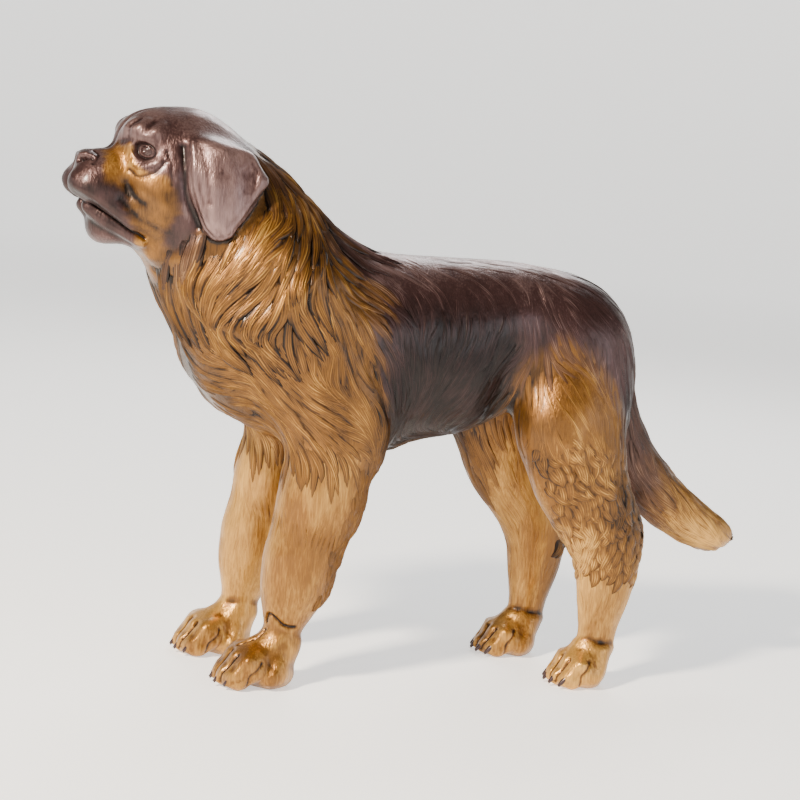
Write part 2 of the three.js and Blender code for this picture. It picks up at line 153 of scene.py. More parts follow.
class Markings:
    """Where the patina is gold or brown, and where shade and light are painted on, the same for hide and coat.
    """

    # the lower edge of the dark saddle, X against Z, from the nape to the tail
    EDGE_X = (-300, -235, -205, -165, -128, -106, -84, -20, 70, 120, 150, 190, 240, 300, 345, 400)
    EDGE_Z = (905, 800, 745, 690, 635, 540, 440, 385, 375, 430, 500, 552, 572, 545, 470, 420)

    # muzzle, cheek and throat
    SPOTS = (
        Spot(-519, 808, 34, 37, 0.8, 1.12),
        Spot(-478, 756, 37, 50, 0.76, 1.14),
        Spot(-474, 702, 22, 16, 0.7, 1.2),
    )

    @classmethod
    def gold(cls, points: Array) -> Array:
        """How golden the patina is at each place, with the rump's shadow painted on the root of the tail.

        Args:
            points: Places in sculptor's millimetres.

        Returns:
            From 0 for dark brown to 1 for gold.
        """
        x, y, z = points[:, 0], np.abs(points[:, 1]), points[:, 2]
        ragged = waves(points, 46, 3) * 12 + waves(points, 19, 4) * 6
        edge = np.interp(x, cls.EDGE_X, cls.EDGE_Z)
        body = 1 - ease(z - edge + ragged, -14, 26)
        # the tail is dark near its root, where the rump's shadow is painted on, and gold beyond
        tail = ease(x + ragged, 425, 475)
        body = np.where(is_tail(points), 0.12 + 0.88 * tail, body)
        torn = waves(points, 30, 5) * 0.09 + waves(points, 11, 6) * 0.05
        face = np.zeros(len(points))
        for spot in cls.SPOTS:
            from_middle = np.hypot((x - spot.x) / spot.half_long, (z - spot.z) / spot.half_tall)
            face = np.maximum(face, 1 - ease(from_middle + torn, spot.whole, spot.gone))
        face *= ease(np.hypot(x - EYE_X + 1, z - EYE_Z + 4), 24, 32) * ease(y, 12, 22)
        # the face ends at a slanting cut over the throat and at another behind the ears
        above_throat = np.maximum(ease(0.52 * (x + 450) + 0.85 * (z - 690), -8, 12), ease(-x, 472, 488))
        head = ease(-x + (z - 780) * 0.75, 345, 372) * above_throat
        return np.clip(body * (1 - head) + face * head, 0, 1)

    @classmethod
    def shade(cls, points: Array) -> Array:
        """How much each place is darkened, mostly by painted shade, or lightened by painted light.

        Args:
            points: Places in sculptor's millimetres.

        Returns:
            From about -0.3 where the painted light is strongest to 0.5 where it is darkest.
        """
        x, y, z = points[:, 0], np.abs(points[:, 1]), points[:, 2]
        ribs = ease(x, -120, -50) * ease(x, 210, 110) * ease(z, 700, 540)
        cheek = ease(x, -425, -445) * ease(z, 805, 775) * ease(z, 690, 715) * (1 + waves(points, 24, 7) * 0.3)
        ear = ease(x, -440, -420) * ease(x, -290, -310) * ease(z, 700, 730) * ease(y, 88, 100)
        crown = ease(z, 840, 870)
        back = ease(z, 590, 690) * ease(x, -140, -90) * ease(x, 300, 240)
        behind = ease(x - (z - 300) * 0.05, 318, 350) * ease(z, 560, 480) * ease(x, 420, 390)
        hock = ease(z, 300, 220) * ease(x, 220, 260) * ease(points[:, 1], 40, -40)
        far = ease(points[:, 1], 40, 80) * ease(z, 400, 370) * ease(x, -100, -140)
        chest = ease(z, 380, 420) * ease(z, 660, 600) * ease(x, -60, -100)
        front = ease(x, -330, -370) * ease(z, 640, 590) * ease(y, 64, 24)
        thigh = ease(x, 190, 235) * ease(x, 330, 300) * ease(z, 450, 410) * ease(z, 210, 250)
        tip = ease(x, 470, 540)
        # thick sums the darkening: painted shade behind the thigh and down the front of the chest, the ribs
        # partly painted shade on the barrel's unlit side and partly a darker patina, the cheek darker and
        # mottled and the chest a little darker
        thick = 0.42 * ribs + 0.32 * cheek + 0.2 * behind + 0.06 * chest + 0.14 * front
        # thin sums the painted light: a painted sheen on the ears and along the top of the back, painted
        # sunlight on the near hock, the far foreleg, the thigh and the tail's tip, and the crown a little
        # lighter
        thin = 0.2 * ear + 0.1 * crown + 0.24 * back + 0.3 * hock + 0.18 * far + 0.1 * tip + 0.08 * thigh
        return thick - thin


@dataclass(frozen=True)
class Guide:
    """How the coat lies round one place: x, distance from the middle, z and the way that it points."""

    x: float
    y: float
    z: float
    way: tuple[float, float, float]


# The lie of the coat on one side, and the other side mirrors it
LIE = (
    # head and ears
    Guide(-560, 30, 800, (0.5, 0, -0.7)), Guide(-470, 60, 770, (0.5, 0, -0.8)),
    Guide(-430, 40, 900, (1, 0, 0)),
    Guide(-360, 105, 780, (0, 0, -1)), Guide(-330, 40, 870, (1, 0, -0.3)),
    # ruff
    Guide(-228, 100, 755, (-0.2, 0, -1)), Guide(-242, 110, 700, (-0.35, 0, -0.95)),
    Guide(-262, 115, 655, (-0.5, 0, -0.85)), Guide(-292, 110, 605, (-0.55, 0, -0.8)),
    Guide(-290, 115, 725, (-0.45, 0, -0.9)), Guide(-330, 105, 670, (-0.65, 0, -0.75)),
    Guide(-205, 100, 690, (-0.15, 0, -1)), Guide(-360, 90, 620, (-0.6, 0, -0.75)),
    Guide(-250, 20, 800, (0.6, 0, -0.6)), Guide(-395, 40, 610, (-0.2, 0, -1)),
    Guide(-440, 30, 660, (0.1, 0, -1)),
    # chest
    Guide(-415, 30, 525, (0.7, 0.5, -0.3)), Guide(-370, 70, 500, (0.9, 0.4, -0.1)),
    Guide(-390, 30, 465, (0.7, 0.6, -0.3)), Guide(-350, 70, 450, (0.9, 0.4, -0.1)),
    Guide(-335, 60, 410, (0.9, 0.3, -0.2)), Guide(-325, 90, 480, (0.9, 0.2, 0.1)),
    Guide(-425, 0, 575, (0, 0, -1)), Guide(-418, 0, 500, (0.25, 0, -1)), Guide(-385, 0, 430, (0.7, 0, -0.7)),
    # shoulder and upper arm
    Guide(-292, 120, 535, (0.8, 0, -0.5)), Guide(-280, 120, 480, (0.7, 0, -0.7)),
    Guide(-245, 130, 617, (0.8, 0, -0.35)), Guide(-190, 140, 600, (0.75, 0, -0.6)),
    Guide(-235, 140, 540, (0.6, 0, -0.8)), Guide(-155, 140, 590, (0.4, 0, -0.9)),
    Guide(-170, 140, 520, (0.1, 0, -1)), Guide(-195, 135, 465, (0.8, 0, -0.4)),
    Guide(-140, 130, 445, (0.8, 0, -0.5)), Guide(-70, 120, 430, (0.1, 0, -1)),
    Guide(-180, 110, 690, (0.7, 0, -0.7)), Guide(-125, 120, 640, (0.6, 0, -0.8)),
    # back, barrel and flank
    Guide(-130, 30, 715, (0.9, 0.3, -0.1)), Guide(0, 30, 698, (0.8, 0.5, -0.1)),
    Guide(130, 30, 705, (0.9, 0.4, -0.1)),
    Guide(-70, 80, 680, (0.7, 0, -0.7)), Guide(-50, 120, 600, (0.1, 0, -1)),
    Guide(-45, 120, 520, (0.1, 0, -1)),
    Guide(15, 110, 595, (0.1, 0, -1)), Guide(15, 110, 510, (-0.25, 0, -0.95)),
    Guide(65, 110, 560, (-0.3, 0, -0.9)), Guide(50, 90, 490, (-0.55, 0, -0.8)),
    Guide(100, 90, 600, (0, 0, -1)), Guide(147, 100, 538, (-0.4, 0, -0.9)),
    Guide(125, 80, 485, (-0.5, 0, -0.85)),
    Guide(0, 0, 390, (0.9, 0, 0)),
    # hip, rump and thigh
    Guide(90, 70, 685, (0.8, 0, -0.5)), Guide(130, 90, 655, (0.5, 0, -0.9)), Guide(187, 110, 630, (0, 0, -1)),
    Guide(240, 60, 695, (0.7, 0.2, -0.6)), Guide(300, 80, 635, (0.5, 0, -0.85)),
    Guide(345, 50, 600, (0.2, 0, -1)),
    Guide(185, 130, 520, (0.35, 0, -0.9)), Guide(235, 140, 540, (0.6, 0, -0.8)),
    Guide(275, 140, 490, (0.4, 0, -0.9)),
    Guide(325, 110, 560, (0.2, 0, -1)), Guide(345, 110, 470, (0.1, 0, -1)),
    Guide(215, 140, 390, (0.45, 0, -0.9)), Guide(250, 140, 340, (0.6, 0, -0.8)),
    Guide(320, 140, 380, (0.3, 0, -0.9)),
    # legs
    Guide(-150, 102, 350, (-0.1, 0, -1)), Guide(-200, 102, 150, (0, 0, -1)), Guide(-260, 102, 20, (-1, 0, 0)),
    Guide(350, 102, 250, (0.1, 0, -1)), Guide(358, 102, 120, (0, 0, -1)), Guide(300, 102, 10, (-1, 0, 0)),
    # tail
    Guide(366, 0, 560, (0.1, 0, -1)), Guide(376, 0, 470, (0.15, 0, -1)), Guide(400, 0, 405, (0.4, 0, -0.9)),
    Guide(445, 0, 350, (0.65, 0, -0.75)), Guide(500, 0, 298, (0.75, 0, -0.65)),
    Guide(590, 0, 250, (0.93, 0, -0.35)),
)


class Lie:
    """The lie of the coat as a field over the whole animal."""

    REACH = 52  # mm that one guide rules
    CORE = 0.35  # share of the reach squared within which a guide rules evenly
    FALL = 2.2  # how steeply its hold falls off beyond that
    SIDEWAYS = 0.6  # share that a distance to the side counts
    SWAY = 0.34  # radians that the waves turn it either way

    @classmethod
    def over(cls, points: Array, normals: Array, sway: float = SWAY) -> Array:
        """Finds the way that the coat points at each place.

        Args:
            points: Places on the hide in sculptor's millimetres.
            normals: The way out of the hide at each of them.
            sway: How far the waves of the coat turn it, in radians.

        Returns:
            Unit vectors in the plane of the hide.
        """
        places = np.array([(g.x, g.y, g.z) for g in LIE])
        ways = unit(np.array([g.way for g in LIE], float))
        folded = points * (1, 0, 1) + np.abs(points) * (0, 1, 0)
        total = np.zeros_like(points)
        for place, way in zip(places, ways):
            gap = folded - place
            gap[:, 1] *= cls.SIDEWAYS
            weight = 1 / (np.sum(gap * gap, axis=1) + cls.REACH**2 * cls.CORE) ** cls.FALL
            total += weight[:, None] * way
        total = unit(total)
        total[:, 1] *= np.sign(points[:, 1])
        total = unit(total - normals * np.sum(total * normals, axis=1)[:, None])
        turn = sway * (0.6 * waves(points, 150, 11) + 0.55 * waves(points, 62, 12))
        across = np.cross(normals, total)
        return total * np.cos(turn)[:, None] + across * np.sin(turn)[:, None]


@dataclass(frozen=True)
class Stroke:
    """One stroke of the modelling tool: its run, its width, and how far it raises or sinks the hide."""

    STEP: ClassVar[float] = 2.0  # mm between the places of a laid run
    REACH: ClassVar[float] = 2.6  # widths out to which a stroke is felt

    run: tuple[tuple[float, float, float], ...]
    wide: float
    high: float
    mirrored: bool = True

    def line(self, tree: BVHTree, side: int) -> Array:
        """Lays the run on the hide as a smooth curve through its places.

        Args:
            tree: The search tree of the hide.
            side: 1 for the side that the run is given on, -1 for the other.

        Returns:
            Places on the hide, about STEP apart.
        """
        corners = [Vector((x, y * side, z)) for x, y, z in self.run]
        ends = [corners[0], *corners, corners[-1]]
        laid = [tree.find_nearest(corners[0])[0]]
        for before, start, end, after in zip(ends, ends[1:], ends[2:], ends[3:]):
            steps = max(1, int((end - start).length / self.STEP))
            for i in range(1, steps + 1):
                t = i / steps
                bend = start * 2 + (end - before) * t + (before * 2 - start * 5 + end * 4 - after) * t**2
                place = (bend + (start * 3 - before - end * 3 + after) * t**3) / 2
                laid.append(tree.find_nearest(place)[0])
        return np.array(laid)


class Modelling:
    """A mesh under the modelling tool, with its points as an array of sculptor's millimetres."""

    def __init__(self, mesh: bpy.types.Mesh) -> None:
        """Takes up a mesh whose points are in the part's frame."""
        self.mesh = mesh
        self.read()

    def read(self) -> None:
        """Reads the points and edges of the mesh."""
        count = len(self.mesh.vertices)
        flat = np.empty(count * 3)
        self.mesh.vertices.foreach_get("co", flat)
        self.points = to_sculptor(flat.reshape(-1, 3))
        ends = np.empty(len(self.mesh.edges) * 2, np.int64)
        self.mesh.edges.foreach_get("vertices", ends)
        self.ends = ends.reshape(-1, 2)
        self.valence = np.maximum(np.bincount(ends, minlength=count), 1)

    def write(self) -> None:
        """Writes the points back into the mesh."""
        self.mesh.vertices.foreach_set("co", to_frame(self.points).ravel())
        self.mesh.update()

    def normals(self) -> Array:
        """Finds the way out of the hide at each point.

        Returns:
            Unit vectors.
        """
        self.write()
        flat = np.empty(len(self.points) * 3)
        self.mesh.vertex_normals.foreach_get("vector", flat)
        return unit(flat.reshape(-1, 3))

    def spread(self, values: Array) -> Array:
        """Finds the mean of each point's neighbours.

        Args:
            values: One value or more for each point.

        Returns:
            The means, in the same layout.
        """
        columns = values.reshape(len(self.points), -1)
        a, b = self.ends[:, 0], self.ends[:, 1]
        count = len(self.points)
        sums = [np.bincount(a, c[b], count) + np.bincount(b, c[a], count) for c in columns.T]
        return (np.array(sums).T / self.valence[:, None]).reshape(values.shape)

    def smooth(self, share: Array, rounds: int) -> None:
        """Draws each point towards the mean of its neighbours.

        Args:
            share: How much of the way each point goes in a round.
            rounds: How many rounds there are.
        """
        for _ in range(rounds):
            self.points += (self.spread(self.points) - self.points) * share[:, None]

    def tree(self) -> BVHTree:
        """A search tree of the hide as it now is, in sculptor's millimetres."""
        faces = [tuple(face.vertices) for face in self.mesh.polygons]
        return BVHTree.FromPolygons(self.points.tolist(), faces)

    def carve(self, strokes: tuple[Stroke, ...]) -> None:
        """Raises or sinks the hide along strokes.

        Args:
            strokes: The strokes, each of them measured from the hide as it was before them all.
        """
        tree = self.tree()
        normals = self.normals()
        moved = np.zeros(len(self.points))
        for stroke in strokes:
            for side in (1, -1) if stroke.mirrored else (1,):
                line = stroke.line(tree, side)
                reach = stroke.wide * stroke.REACH
                low, high = line.min(0) - reach, line.max(0) + reach
                near = np.nonzero(np.all((self.points > low) & (self.points < high), axis=1))[0]
                if not len(near):
                    continue
                gaps = self.points[near][:, None, :] - line[None, :, :]
                gap = np.sqrt(np.min(np.sum(gaps * gaps, axis=2), axis=1))
                moved[near] += stroke.high * np.exp(-((gap / stroke.wide) ** 2))
        self.points += normals * moved[:, None]


@dataclass
class Hide:
    """The cast surface of the whole animal, in one piece over every casting."""

    voxel: float = 4.6  # mm between points over the body
    most: int = 197_000  # triangles that the finished hide may have, its limit
    overhang: float = 13  # mm that the ruff stands out over the shoulder
    ear_out: float = 9  # mm that an ear hangs clear of the neck
    eye_long: float = 10.2  # half the length of the eye's opening
    eye_up: float = 6.4  # and its height above the middle
    eye_down: float = 7.2  # and below it

    # mm over which each casting is smoothed, by the start of its name
    SPREAD: ClassVar[dict[str, float]] = {
        "head": 4.5, "jaw": 4, "nose": 3, "ear": 4.5, "neck": 17, "torso": 19, "tail": 15,
        "foreleg": 9, "front": 3.5, "thigh": 13, "hind": 4,
    }

    # where the ruff overhangs the shoulder, X against Z
    RUFF_X: ClassVar[tuple[float, ...]] = (-430, -370, -320, -285, -250, -218, -198, -150)
    RUFF_Z: ClassVar[tuple[float, ...]] = (640, 575, 556, 580, 618, 655, 712, 770)

    def __post_init__(self) -> None:
        """Names the castings that the hide covers."""
        self.castings = sorted(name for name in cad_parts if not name.startswith("eye_"))

    def build(self) -> bpy.types.Object:
        """Makes the hide.

        Returns:
            Its object.
        """
        self._join()
        self.model = Modelling(self.object.data)
        self._label()
        self._soften()
        self._refine(lambda p: self._is_head(p) | self._is_paw(p))
        self._refine(self._is_face)
        self._model_body()
        self._model_ears()
        self._model_face()
        self._set_eyes()
        self._model_paws()
        self.model.write()
        self._finish()
        self._thin()
        return self.object

    def _join(self) -> None:
        """Casts all the pieces as one by a voxel remesh, and keeps its largest surface."""
        joined = bmesh.new()
        for name in [*self.castings, "eye_left", "eye_right"]:
            joined.from_mesh(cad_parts[name].data)
        bmesh.ops.remove_doubles(joined, verts=joined.verts, dist=1e-5)
        rough = bpy.data.meshes.new("hide_rough")
        joined.to_mesh(rough)
        joined.free()
        carrier = bpy.data.objects.new("hide_rough", rough)
        bpy.context.scene.collection.objects.link(carrier)
        remesh = carrier.modifiers.new("cast", "REMESH")
        remesh.mode = "VOXEL"
        remesh.voxel_size = self.voxel * MM
        remesh.use_smooth_shade = True
        fine = bpy.data.meshes.new_from_object(carrier.evaluated_get(bpy.context.evaluated_depsgraph_get()))
        bpy.data.objects.remove(carrier)
        self._keep_largest(fine)
        fine.name = "hide"
        self.object = smooth_object(fine)

    @staticmethod
    def _keep_largest(mesh: bpy.types.Mesh) -> None:
        """Deletes all but the largest connected surface.

        Args:
            mesh: The mesh, which is changed.
        """
        work = bmesh.new()
        work.from_mesh(mesh)
        work.verts.ensure_lookup_table()
        left = set(work.verts)
        islands = []
        while left:
            island, front = set(), [left.pop()]
            while front:
                vertex = front.pop()
                island.add(vertex)
                for edge in vertex.link_edges:
                    other = edge.other_vert(vertex)
                    if other in left:
                        left.discard(other)
                        front.append(other)
            islands.append(island)
        islands.sort(key=len)
        scraps = [vertex for island in islands[:-1] for vertex in island]
        bmesh.ops.delete(work, geom=scraps, context="VERTS")
        work.to_mesh(mesh)
        work.free()

    def _label(self) -> None:
        """Notes how far each point is smoothed, from the casting that it lies on."""
        corners, faces, owners = [], [], []
        for name in self.castings:
            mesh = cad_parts[name].data
            first = len(corners)
            corners += [tuple(v.co) for v in mesh.vertices]
            faces += [tuple(first + i for i in p.vertices) for p in mesh.polygons]
            owners += [name] * len(mesh.polygons)
        self.castings_tree = BVHTree.FromPolygons(corners, faces)
        self.face_owners = np.array(owners)
        amounts = {n: next(v for key, v in self.SPREAD.items() if n.startswith(key)) for n in self.castings}
        self.spread_mm = np.array([amounts[name] for name in self.owners(self.model.points)], float)

    def owners(self, points: Array) -> Array:
        """The name of the casting that each place belongs to."""
        return self.face_owners[[self.castings_tree.find_nearest(p)[2] for p in to_frame(points).tolist()]]

    def _soften(self) -> None:
        """Smooths the coarse locks off the body and the facets off the head."""
        for _ in range(12):
            self.spread_mm = self.model.spread(self.spread_mm)
        rounds = 90
        share = 2 * (self.spread_mm / self.voxel) ** 2 / rounds
        self.model.smooth(np.clip(share, 0.01, 0.5), rounds)
        self.model.write()

    @staticmethod
    def _is_head(p: Array) -> Array:
        """True on the head, ears and throat."""
        ears = (p[:, 0] < -295) & (p[:, 2] > 720) & (np.abs(p[:, 1]) > 70)
        return (p[:, 0] < -355) & (p[:, 2] > 665) | ears

    @staticmethod
    def _is_paw(p: Array) -> Array:
        """True on the toes, and round the seam of the near front paw."""
        toes = (p[:, 2] < 42) & ((p[:, 0] < -205) | (p[:, 0] > 180) & (p[:, 0] < 335))
        return toes | (p[:, 2] < 126) & (p[:, 0] < -170) & (p[:, 1] < -60)

    @staticmethod
    def _is_face(p: Array) -> Array:
        """Says which places lie round the eyes, nose and lips.

        Args:
            p: Places in sculptor's millimetres.

        Returns:
            True for those that do.
        """
        in_side_view = (p - (EYE_X - 6, 0, EYE_Z)) * (1, 0, 1)
        eye = np.linalg.norm(in_side_view + np.maximum(np.abs(p) - EYE_Y, 0) * (0, 1, 0), axis=1)
        lips = np.abs(0.52 * (p[:, 0] + 530) + 0.85 * (p[:, 2] - 733)) < 16
        nose = (p[:, 0] < -556) & (p[:, 2] > 790)
        return (eye < 34) | lips & (p[:, 0] < -466) & (p[:, 2] > 690) | nose

    def _refine(self, chosen: Region) -> None:
        """Divides every edge once whose ends are both chosen.

        Args:
            chosen: Says which points are.
        """
        self.model.write()
        picked = chosen(self.model.points)
        work = bmesh.new()
        work.from_mesh(self.model.mesh)
        work.verts.ensure_lookup_table()
        edges = [e for e in work.edges if picked[e.verts[0].index] and picked[e.verts[1].index]]
        bmesh.ops.subdivide_edges(work, edges=edges, cuts=1, use_grid_fill=True, smooth=0.6)
        work.to_mesh(self.model.mesh)
        work.free()
        self.model.read()

    def _model_body(self) -> None:
        """Raises the ruff over the shoulder, and the folds of flesh under the throat."""
        model = self.model
        x, y, z = model.points.T
        above = z - np.interp(x, self.RUFF_X, self.RUFF_Z)
        overhang = ease(above, -5, 7) * np.exp(-np.maximum(above, 0) / 62) * (1 - ease(x, -215, -170))
        overhang *= ease(x, -440, -395) * ease(np.abs(y), 24, 60) * (1 - ease(x, -180, -150))
        model.points += model.normals() * (self.overhang * overhang)[:, None]
        model.carve((
            Stroke(((-458, 40, 676), (-428, 74, 672), (-398, 92, 690)), 13, 5),
            Stroke(((-452, 30, 652), (-418, 66, 644), (-384, 92, 664)), 7, -4),
            Stroke(((-300, 112, 545), (-302, 106, 480), (-290, 100, 420)), 12, -4),
            Stroke(((-122, 120, 520), (-96, 122, 470), (-84, 112, 420)), 9, -6),
            Stroke(((150, 100, 560), (128, 96, 500), (132, 84, 450)), 14, -5),
        ))

    def _model_ears(self) -> None:
        """Draws each ear out from the neck as a flap with a clear edge."""
        owners = self.owners(self.model.points)
        for side, name in ((-1, "ear_left"), (1, "ear_right")):
            held = (owners == name).astype(float)
            for _ in range(5):
                held = self.model.spread(held)
            x, z = self.model.points[:, 0], self.model.points[:, 2]
            hang = ease(z, 850, 785) * ease(x, -425, -385)
            self.model.points[:, 1] += side * self.ear_out * ease(held, 0.25, 0.8) * hang
        x, y, z = self.model.points.T
        crease = ease(z, 812, 846) * ease(x, -440, -408) * ease(x, -270, -300) * ease(np.abs(y), 44, 62)
        self.model.smooth(crease * 0.5, 240)

    def _model_face(self) -> None:
        """Carves the brow folds, cheeks, lips, ears and the ridge of the nose."""
        for _ in range(2):
            self.model.smooth(self._is_face(self.model.points) * 0.3, 2)
        self.model.carve((
            # brow folds, and the furrows between them
            Stroke(((-508, 28, 866), (-503, 33, 884)), 7.5, 2.6),
            Stroke(((-494, 45, 869), (-487, 46, 886)), 7.5, 2.8),
            Stroke(((-474, 60, 866), (-464, 60, 880)), 9, 2.6),
            Stroke(((-503, 37, 860), (-498, 40, 884)), 5, -1.5),
            Stroke(((-486, 54, 864), (-478, 54, 884)), 5, -1.4),
            Stroke(((-536, 0, 842), (-516, 0, 868), (-470, 0, 898)), 9, -2.6),
            Stroke(((-520, 20, 846), (-504, 40, 852), (-496, 44, 846)), 6, -2.4),
            # the bag under the eye, and its wrinkles
            Stroke(((-500, 50, 816), (-486, 60, 808), (-466, 66, 816)), 8, 2.4),
            Stroke(((-504, 48, 806), (-488, 62, 797), (-468, 68, 803), (-456, 70, 818)), 4.0, -1.5),
            Stroke(((-500, 54, 812), (-486, 62, 806), (-472, 67, 810)), 1.8, -0.8),
            Stroke(((-455, 70, 836), (-447, 76, 814), (-448, 78, 790)), 4, -1.3),
            Stroke(((-444, 74, 830), (-437, 80, 800)), 4, -1.0),
            # muzzle side, cheek and the soft crease between them
            Stroke(((-540, 36, 806), (-518, 42, 800)), 20, 3),
            Stroke(((-512, 50, 788), (-500, 56, 770), (-478, 64, 760)), 8, -2),
            Stroke(((-490, 60, 784), (-466, 72, 770), (-450, 76, 744)), 20, 3.4),
            Stroke(((-524, 50, 756), (-496, 62, 738), (-466, 72, 722)), 8, -2.2),
            # flews over the lip line, the line itself, and the lower lip under it
            Stroke(((-584, 24, 784), (-572, 33, 766)), 15, 5),
            Stroke(((-590, 18, 774), (-570, 34, 762), (-548, 42, 750), (-522, 50, 737),
                    (-498, 55, 724)), 7, 2.2),
            Stroke(((-597, 6, 763), (-578, 28, 757), (-554, 38, 744), (-528, 47, 731), (-502, 53, 716),
                    (-480, 57, 702)), 2.6, -5),
            Stroke(((-588, 12, 750), (-566, 30, 736), (-536, 42, 720), (-508, 50, 705),
                    (-484, 56, 692)), 8.5, 3),
            Stroke(((-481, 58, 697),), 7, 3.4),
            Stroke(((-556, 26, 718), (-528, 37, 703), (-500, 45, 688)), 7, -2.6),
            Stroke(((-599, 0, 798), (-602, 0, 780), (-598, 0, 762)), 3, -5),
            # wings and holes of the nose
            Stroke(((-582, 17, 815), (-575, 23, 816)), 4.4, -8),
            Stroke(((-574, 23, 816), (-567, 27, 816), (-562, 28, 810)), 2.4, -3.5),
            Stroke(((-584, 13, 826), (-574, 22, 826), (-564, 27, 820)), 4.5, 2.0),
            Stroke(((-596, 0, 822), (-600, 0, 808), (-598, 0, 798)), 2.4, -2.2),
            Stroke(((-560, 16, 828), (-555, 26, 816), (-560, 28, 799)), 3, -2.2),
            # the rim and the fold of the ear, and the hollow before it
            Stroke(((-424, 92, 862), (-420, 104, 825), (-414, 110, 787), (-400, 116, 750),
                    (-378, 120, 722)), 4, 2.4),
            Stroke(((-408, 100, 850), (-400, 112, 810), (-392, 118, 770)), 9, -2.4),
            Stroke(((-376, 108, 850), (-356, 118, 800), (-360, 122, 760)), 15, 3.2),
            Stroke(((-326, 108, 838), (-316, 116, 808), (-340, 124, 762), (-366, 124, 726)), 4.5, 2),
            Stroke(((-436, 84, 850), (-432, 92, 810), (-424, 96, 770), (-404, 100, 730)), 6, -4),
        ))

    def _set_eyes(self) -> None:
        """Draws the lids over the eyeballs, with an opening between them."""
        model = self.model
        for side in (-1, 1):
            out = unit(np.array((-0.70, 0.70 * side, 0.10)))
            back = unit(np.array((0.66, 0.62 * side, -0.22)))
            back = unit(back - out * (back @ out))
            up = np.cross(out, back) * side
            up *= np.sign(up[2])
            gap = model.points - (EYE_X, EYE_Y * side, EYE_Z)
            a, b, depth = gap @ back, gap @ up, gap @ out
            near = (np.hypot(a, b) < 36) & (depth > -22)
            half_tall = np.where(b > -0.4, self.eye_up, self.eye_down)
            opening = np.hypot(a / self.eye_long, (b + 0.4) / half_tall)
            ball = np.sqrt(np.maximum(EYE_RADIUS**2 - a * a - b * b, 0))
            ball = np.maximum(ball, 13.4 - np.hypot(a, b) * 0.28)
            lid = 2.7 * ease(opening, 0.96, 1.12) * (1 - 0.7 * ease(opening, 1.3, 1.75))
            target = ball - 3.5 + 3.5 * ease(opening, 0.92, 1.02) + lid
            hold = (1 - ease(opening, 1.45, 2.2)) * near
            model.points += out * ((target - depth) * hold)[:, None]

    def _model_paws(self) -> None:
        """Cuts the furrows between the toes, and the open seam where the near front paw joins its leg."""
        strokes = []
        x, out, z = self.model.points.T
        # the joints between paw and leg, from X to X: both forelegs, the near hind leg and the far one
        for front, back, sides in ((-272, -205, (-1, 1)), (318, 372, (-1,)), (260, 326, (1,))):
            held = ease(x, front - 14, front + 12) * ease(x, back + 22, back)
            held *= ease(z, 62, 44) * ease(z, -6, 6) * np.isin(np.sign(out), sides)
            self.model.smooth(held * 0.5, 45)
        for paw in PAWS:
            size = paw.size
            for across in (-22, 0, 22):
                y = paw.y(across)
                run = (
                    (paw.toe + 4, y * 1.01, FLOOR_Z + 6), (paw.toe + 10, y, FLOOR_Z + 24 * size),
                    (paw.toe + 40 * size, y, FLOOR_Z + 46 * size),
                )
                strokes.append(Stroke(run, 3.4, -3.6, mirrored=False))
            for across in (-50, 50):
                y = paw.y(across)
                heel = paw.toe + 104 * size
                run = (
                    (paw.toe + 70 * size, y, FLOOR_Z + 18), (heel, y, FLOOR_Z + 26), (heel, y, FLOOR_Z + 46),
                )
                strokes.append(Stroke(run, 16, 8, mirrored=False))
                run = ((paw.toe + 84 * size, y, FLOOR_Z + 14), (paw.toe + 90 * size, y, FLOOR_Z + 34))
                strokes.append(Stroke(run, 13, 6, mirrored=False))
                run = ((paw.toe + 20 * size, y, FLOOR_Z + 14), (paw.toe + 44 * size, y, FLOOR_Z + 26))
                strokes.append(Stroke(run, 13, -5, mirrored=False))
                run = (
                    (paw.toe + 54 * size, y, FLOOR_Z + 5), (paw.toe + 52 * size, y, FLOOR_Z + 26),
                    (paw.toe + 62 * size, paw.y(across * 0.7), FLOOR_Z + 46),
                )
                strokes.append(Stroke(run, 3.6, -3, mirrored=False))
            for across in CLAWS_ACROSS:
                y = paw.y(across)
                first = paw.toe + abs(across) * 0.42
                knuckle = (first + 34 * size, y, FLOOR_Z + 42 * size)
                strokes.append(Stroke((knuckle,), 10, 3, mirrored=False))
                joint = (first + 16 * size, y, FLOOR_Z + 30 * size)
                strokes.append(Stroke((joint,), 7, -1.6, mirrored=False))
        seam = ((-196, -140, 92), (-222, -140, 96), (-244, -122, 112), (-262, -112, 84), (-282, -104, 58))
        strokes.append(Stroke(seam, 2.6, -4.5, mirrored=False))
        self.model.carve(tuple(strokes))
        self.model.points[:, 2] = np.maximum(self.model.points[:, 2], FLOOR_Z)

    def _finish(self) -> None:
        """Keeps what the coat needs: the search tree, the unwrap, the castings and the lie of each face."""
        self.vertex_normals = self.model.normals()
        self.tree = self.model.tree()
        self._paint()
        self.model.mesh.polygons.foreach_set("use_smooth", np.ones(len(self.model.mesh.polygons), bool))
        unwrap(self.object)
        self.centres, self.face_normals = self._faces()
        self.face_castings = self.owners(self.centres)
        self.lie = Lie.over(self.centres, self.face_normals)
        self.unwrapped = face_places(self.model.mesh)

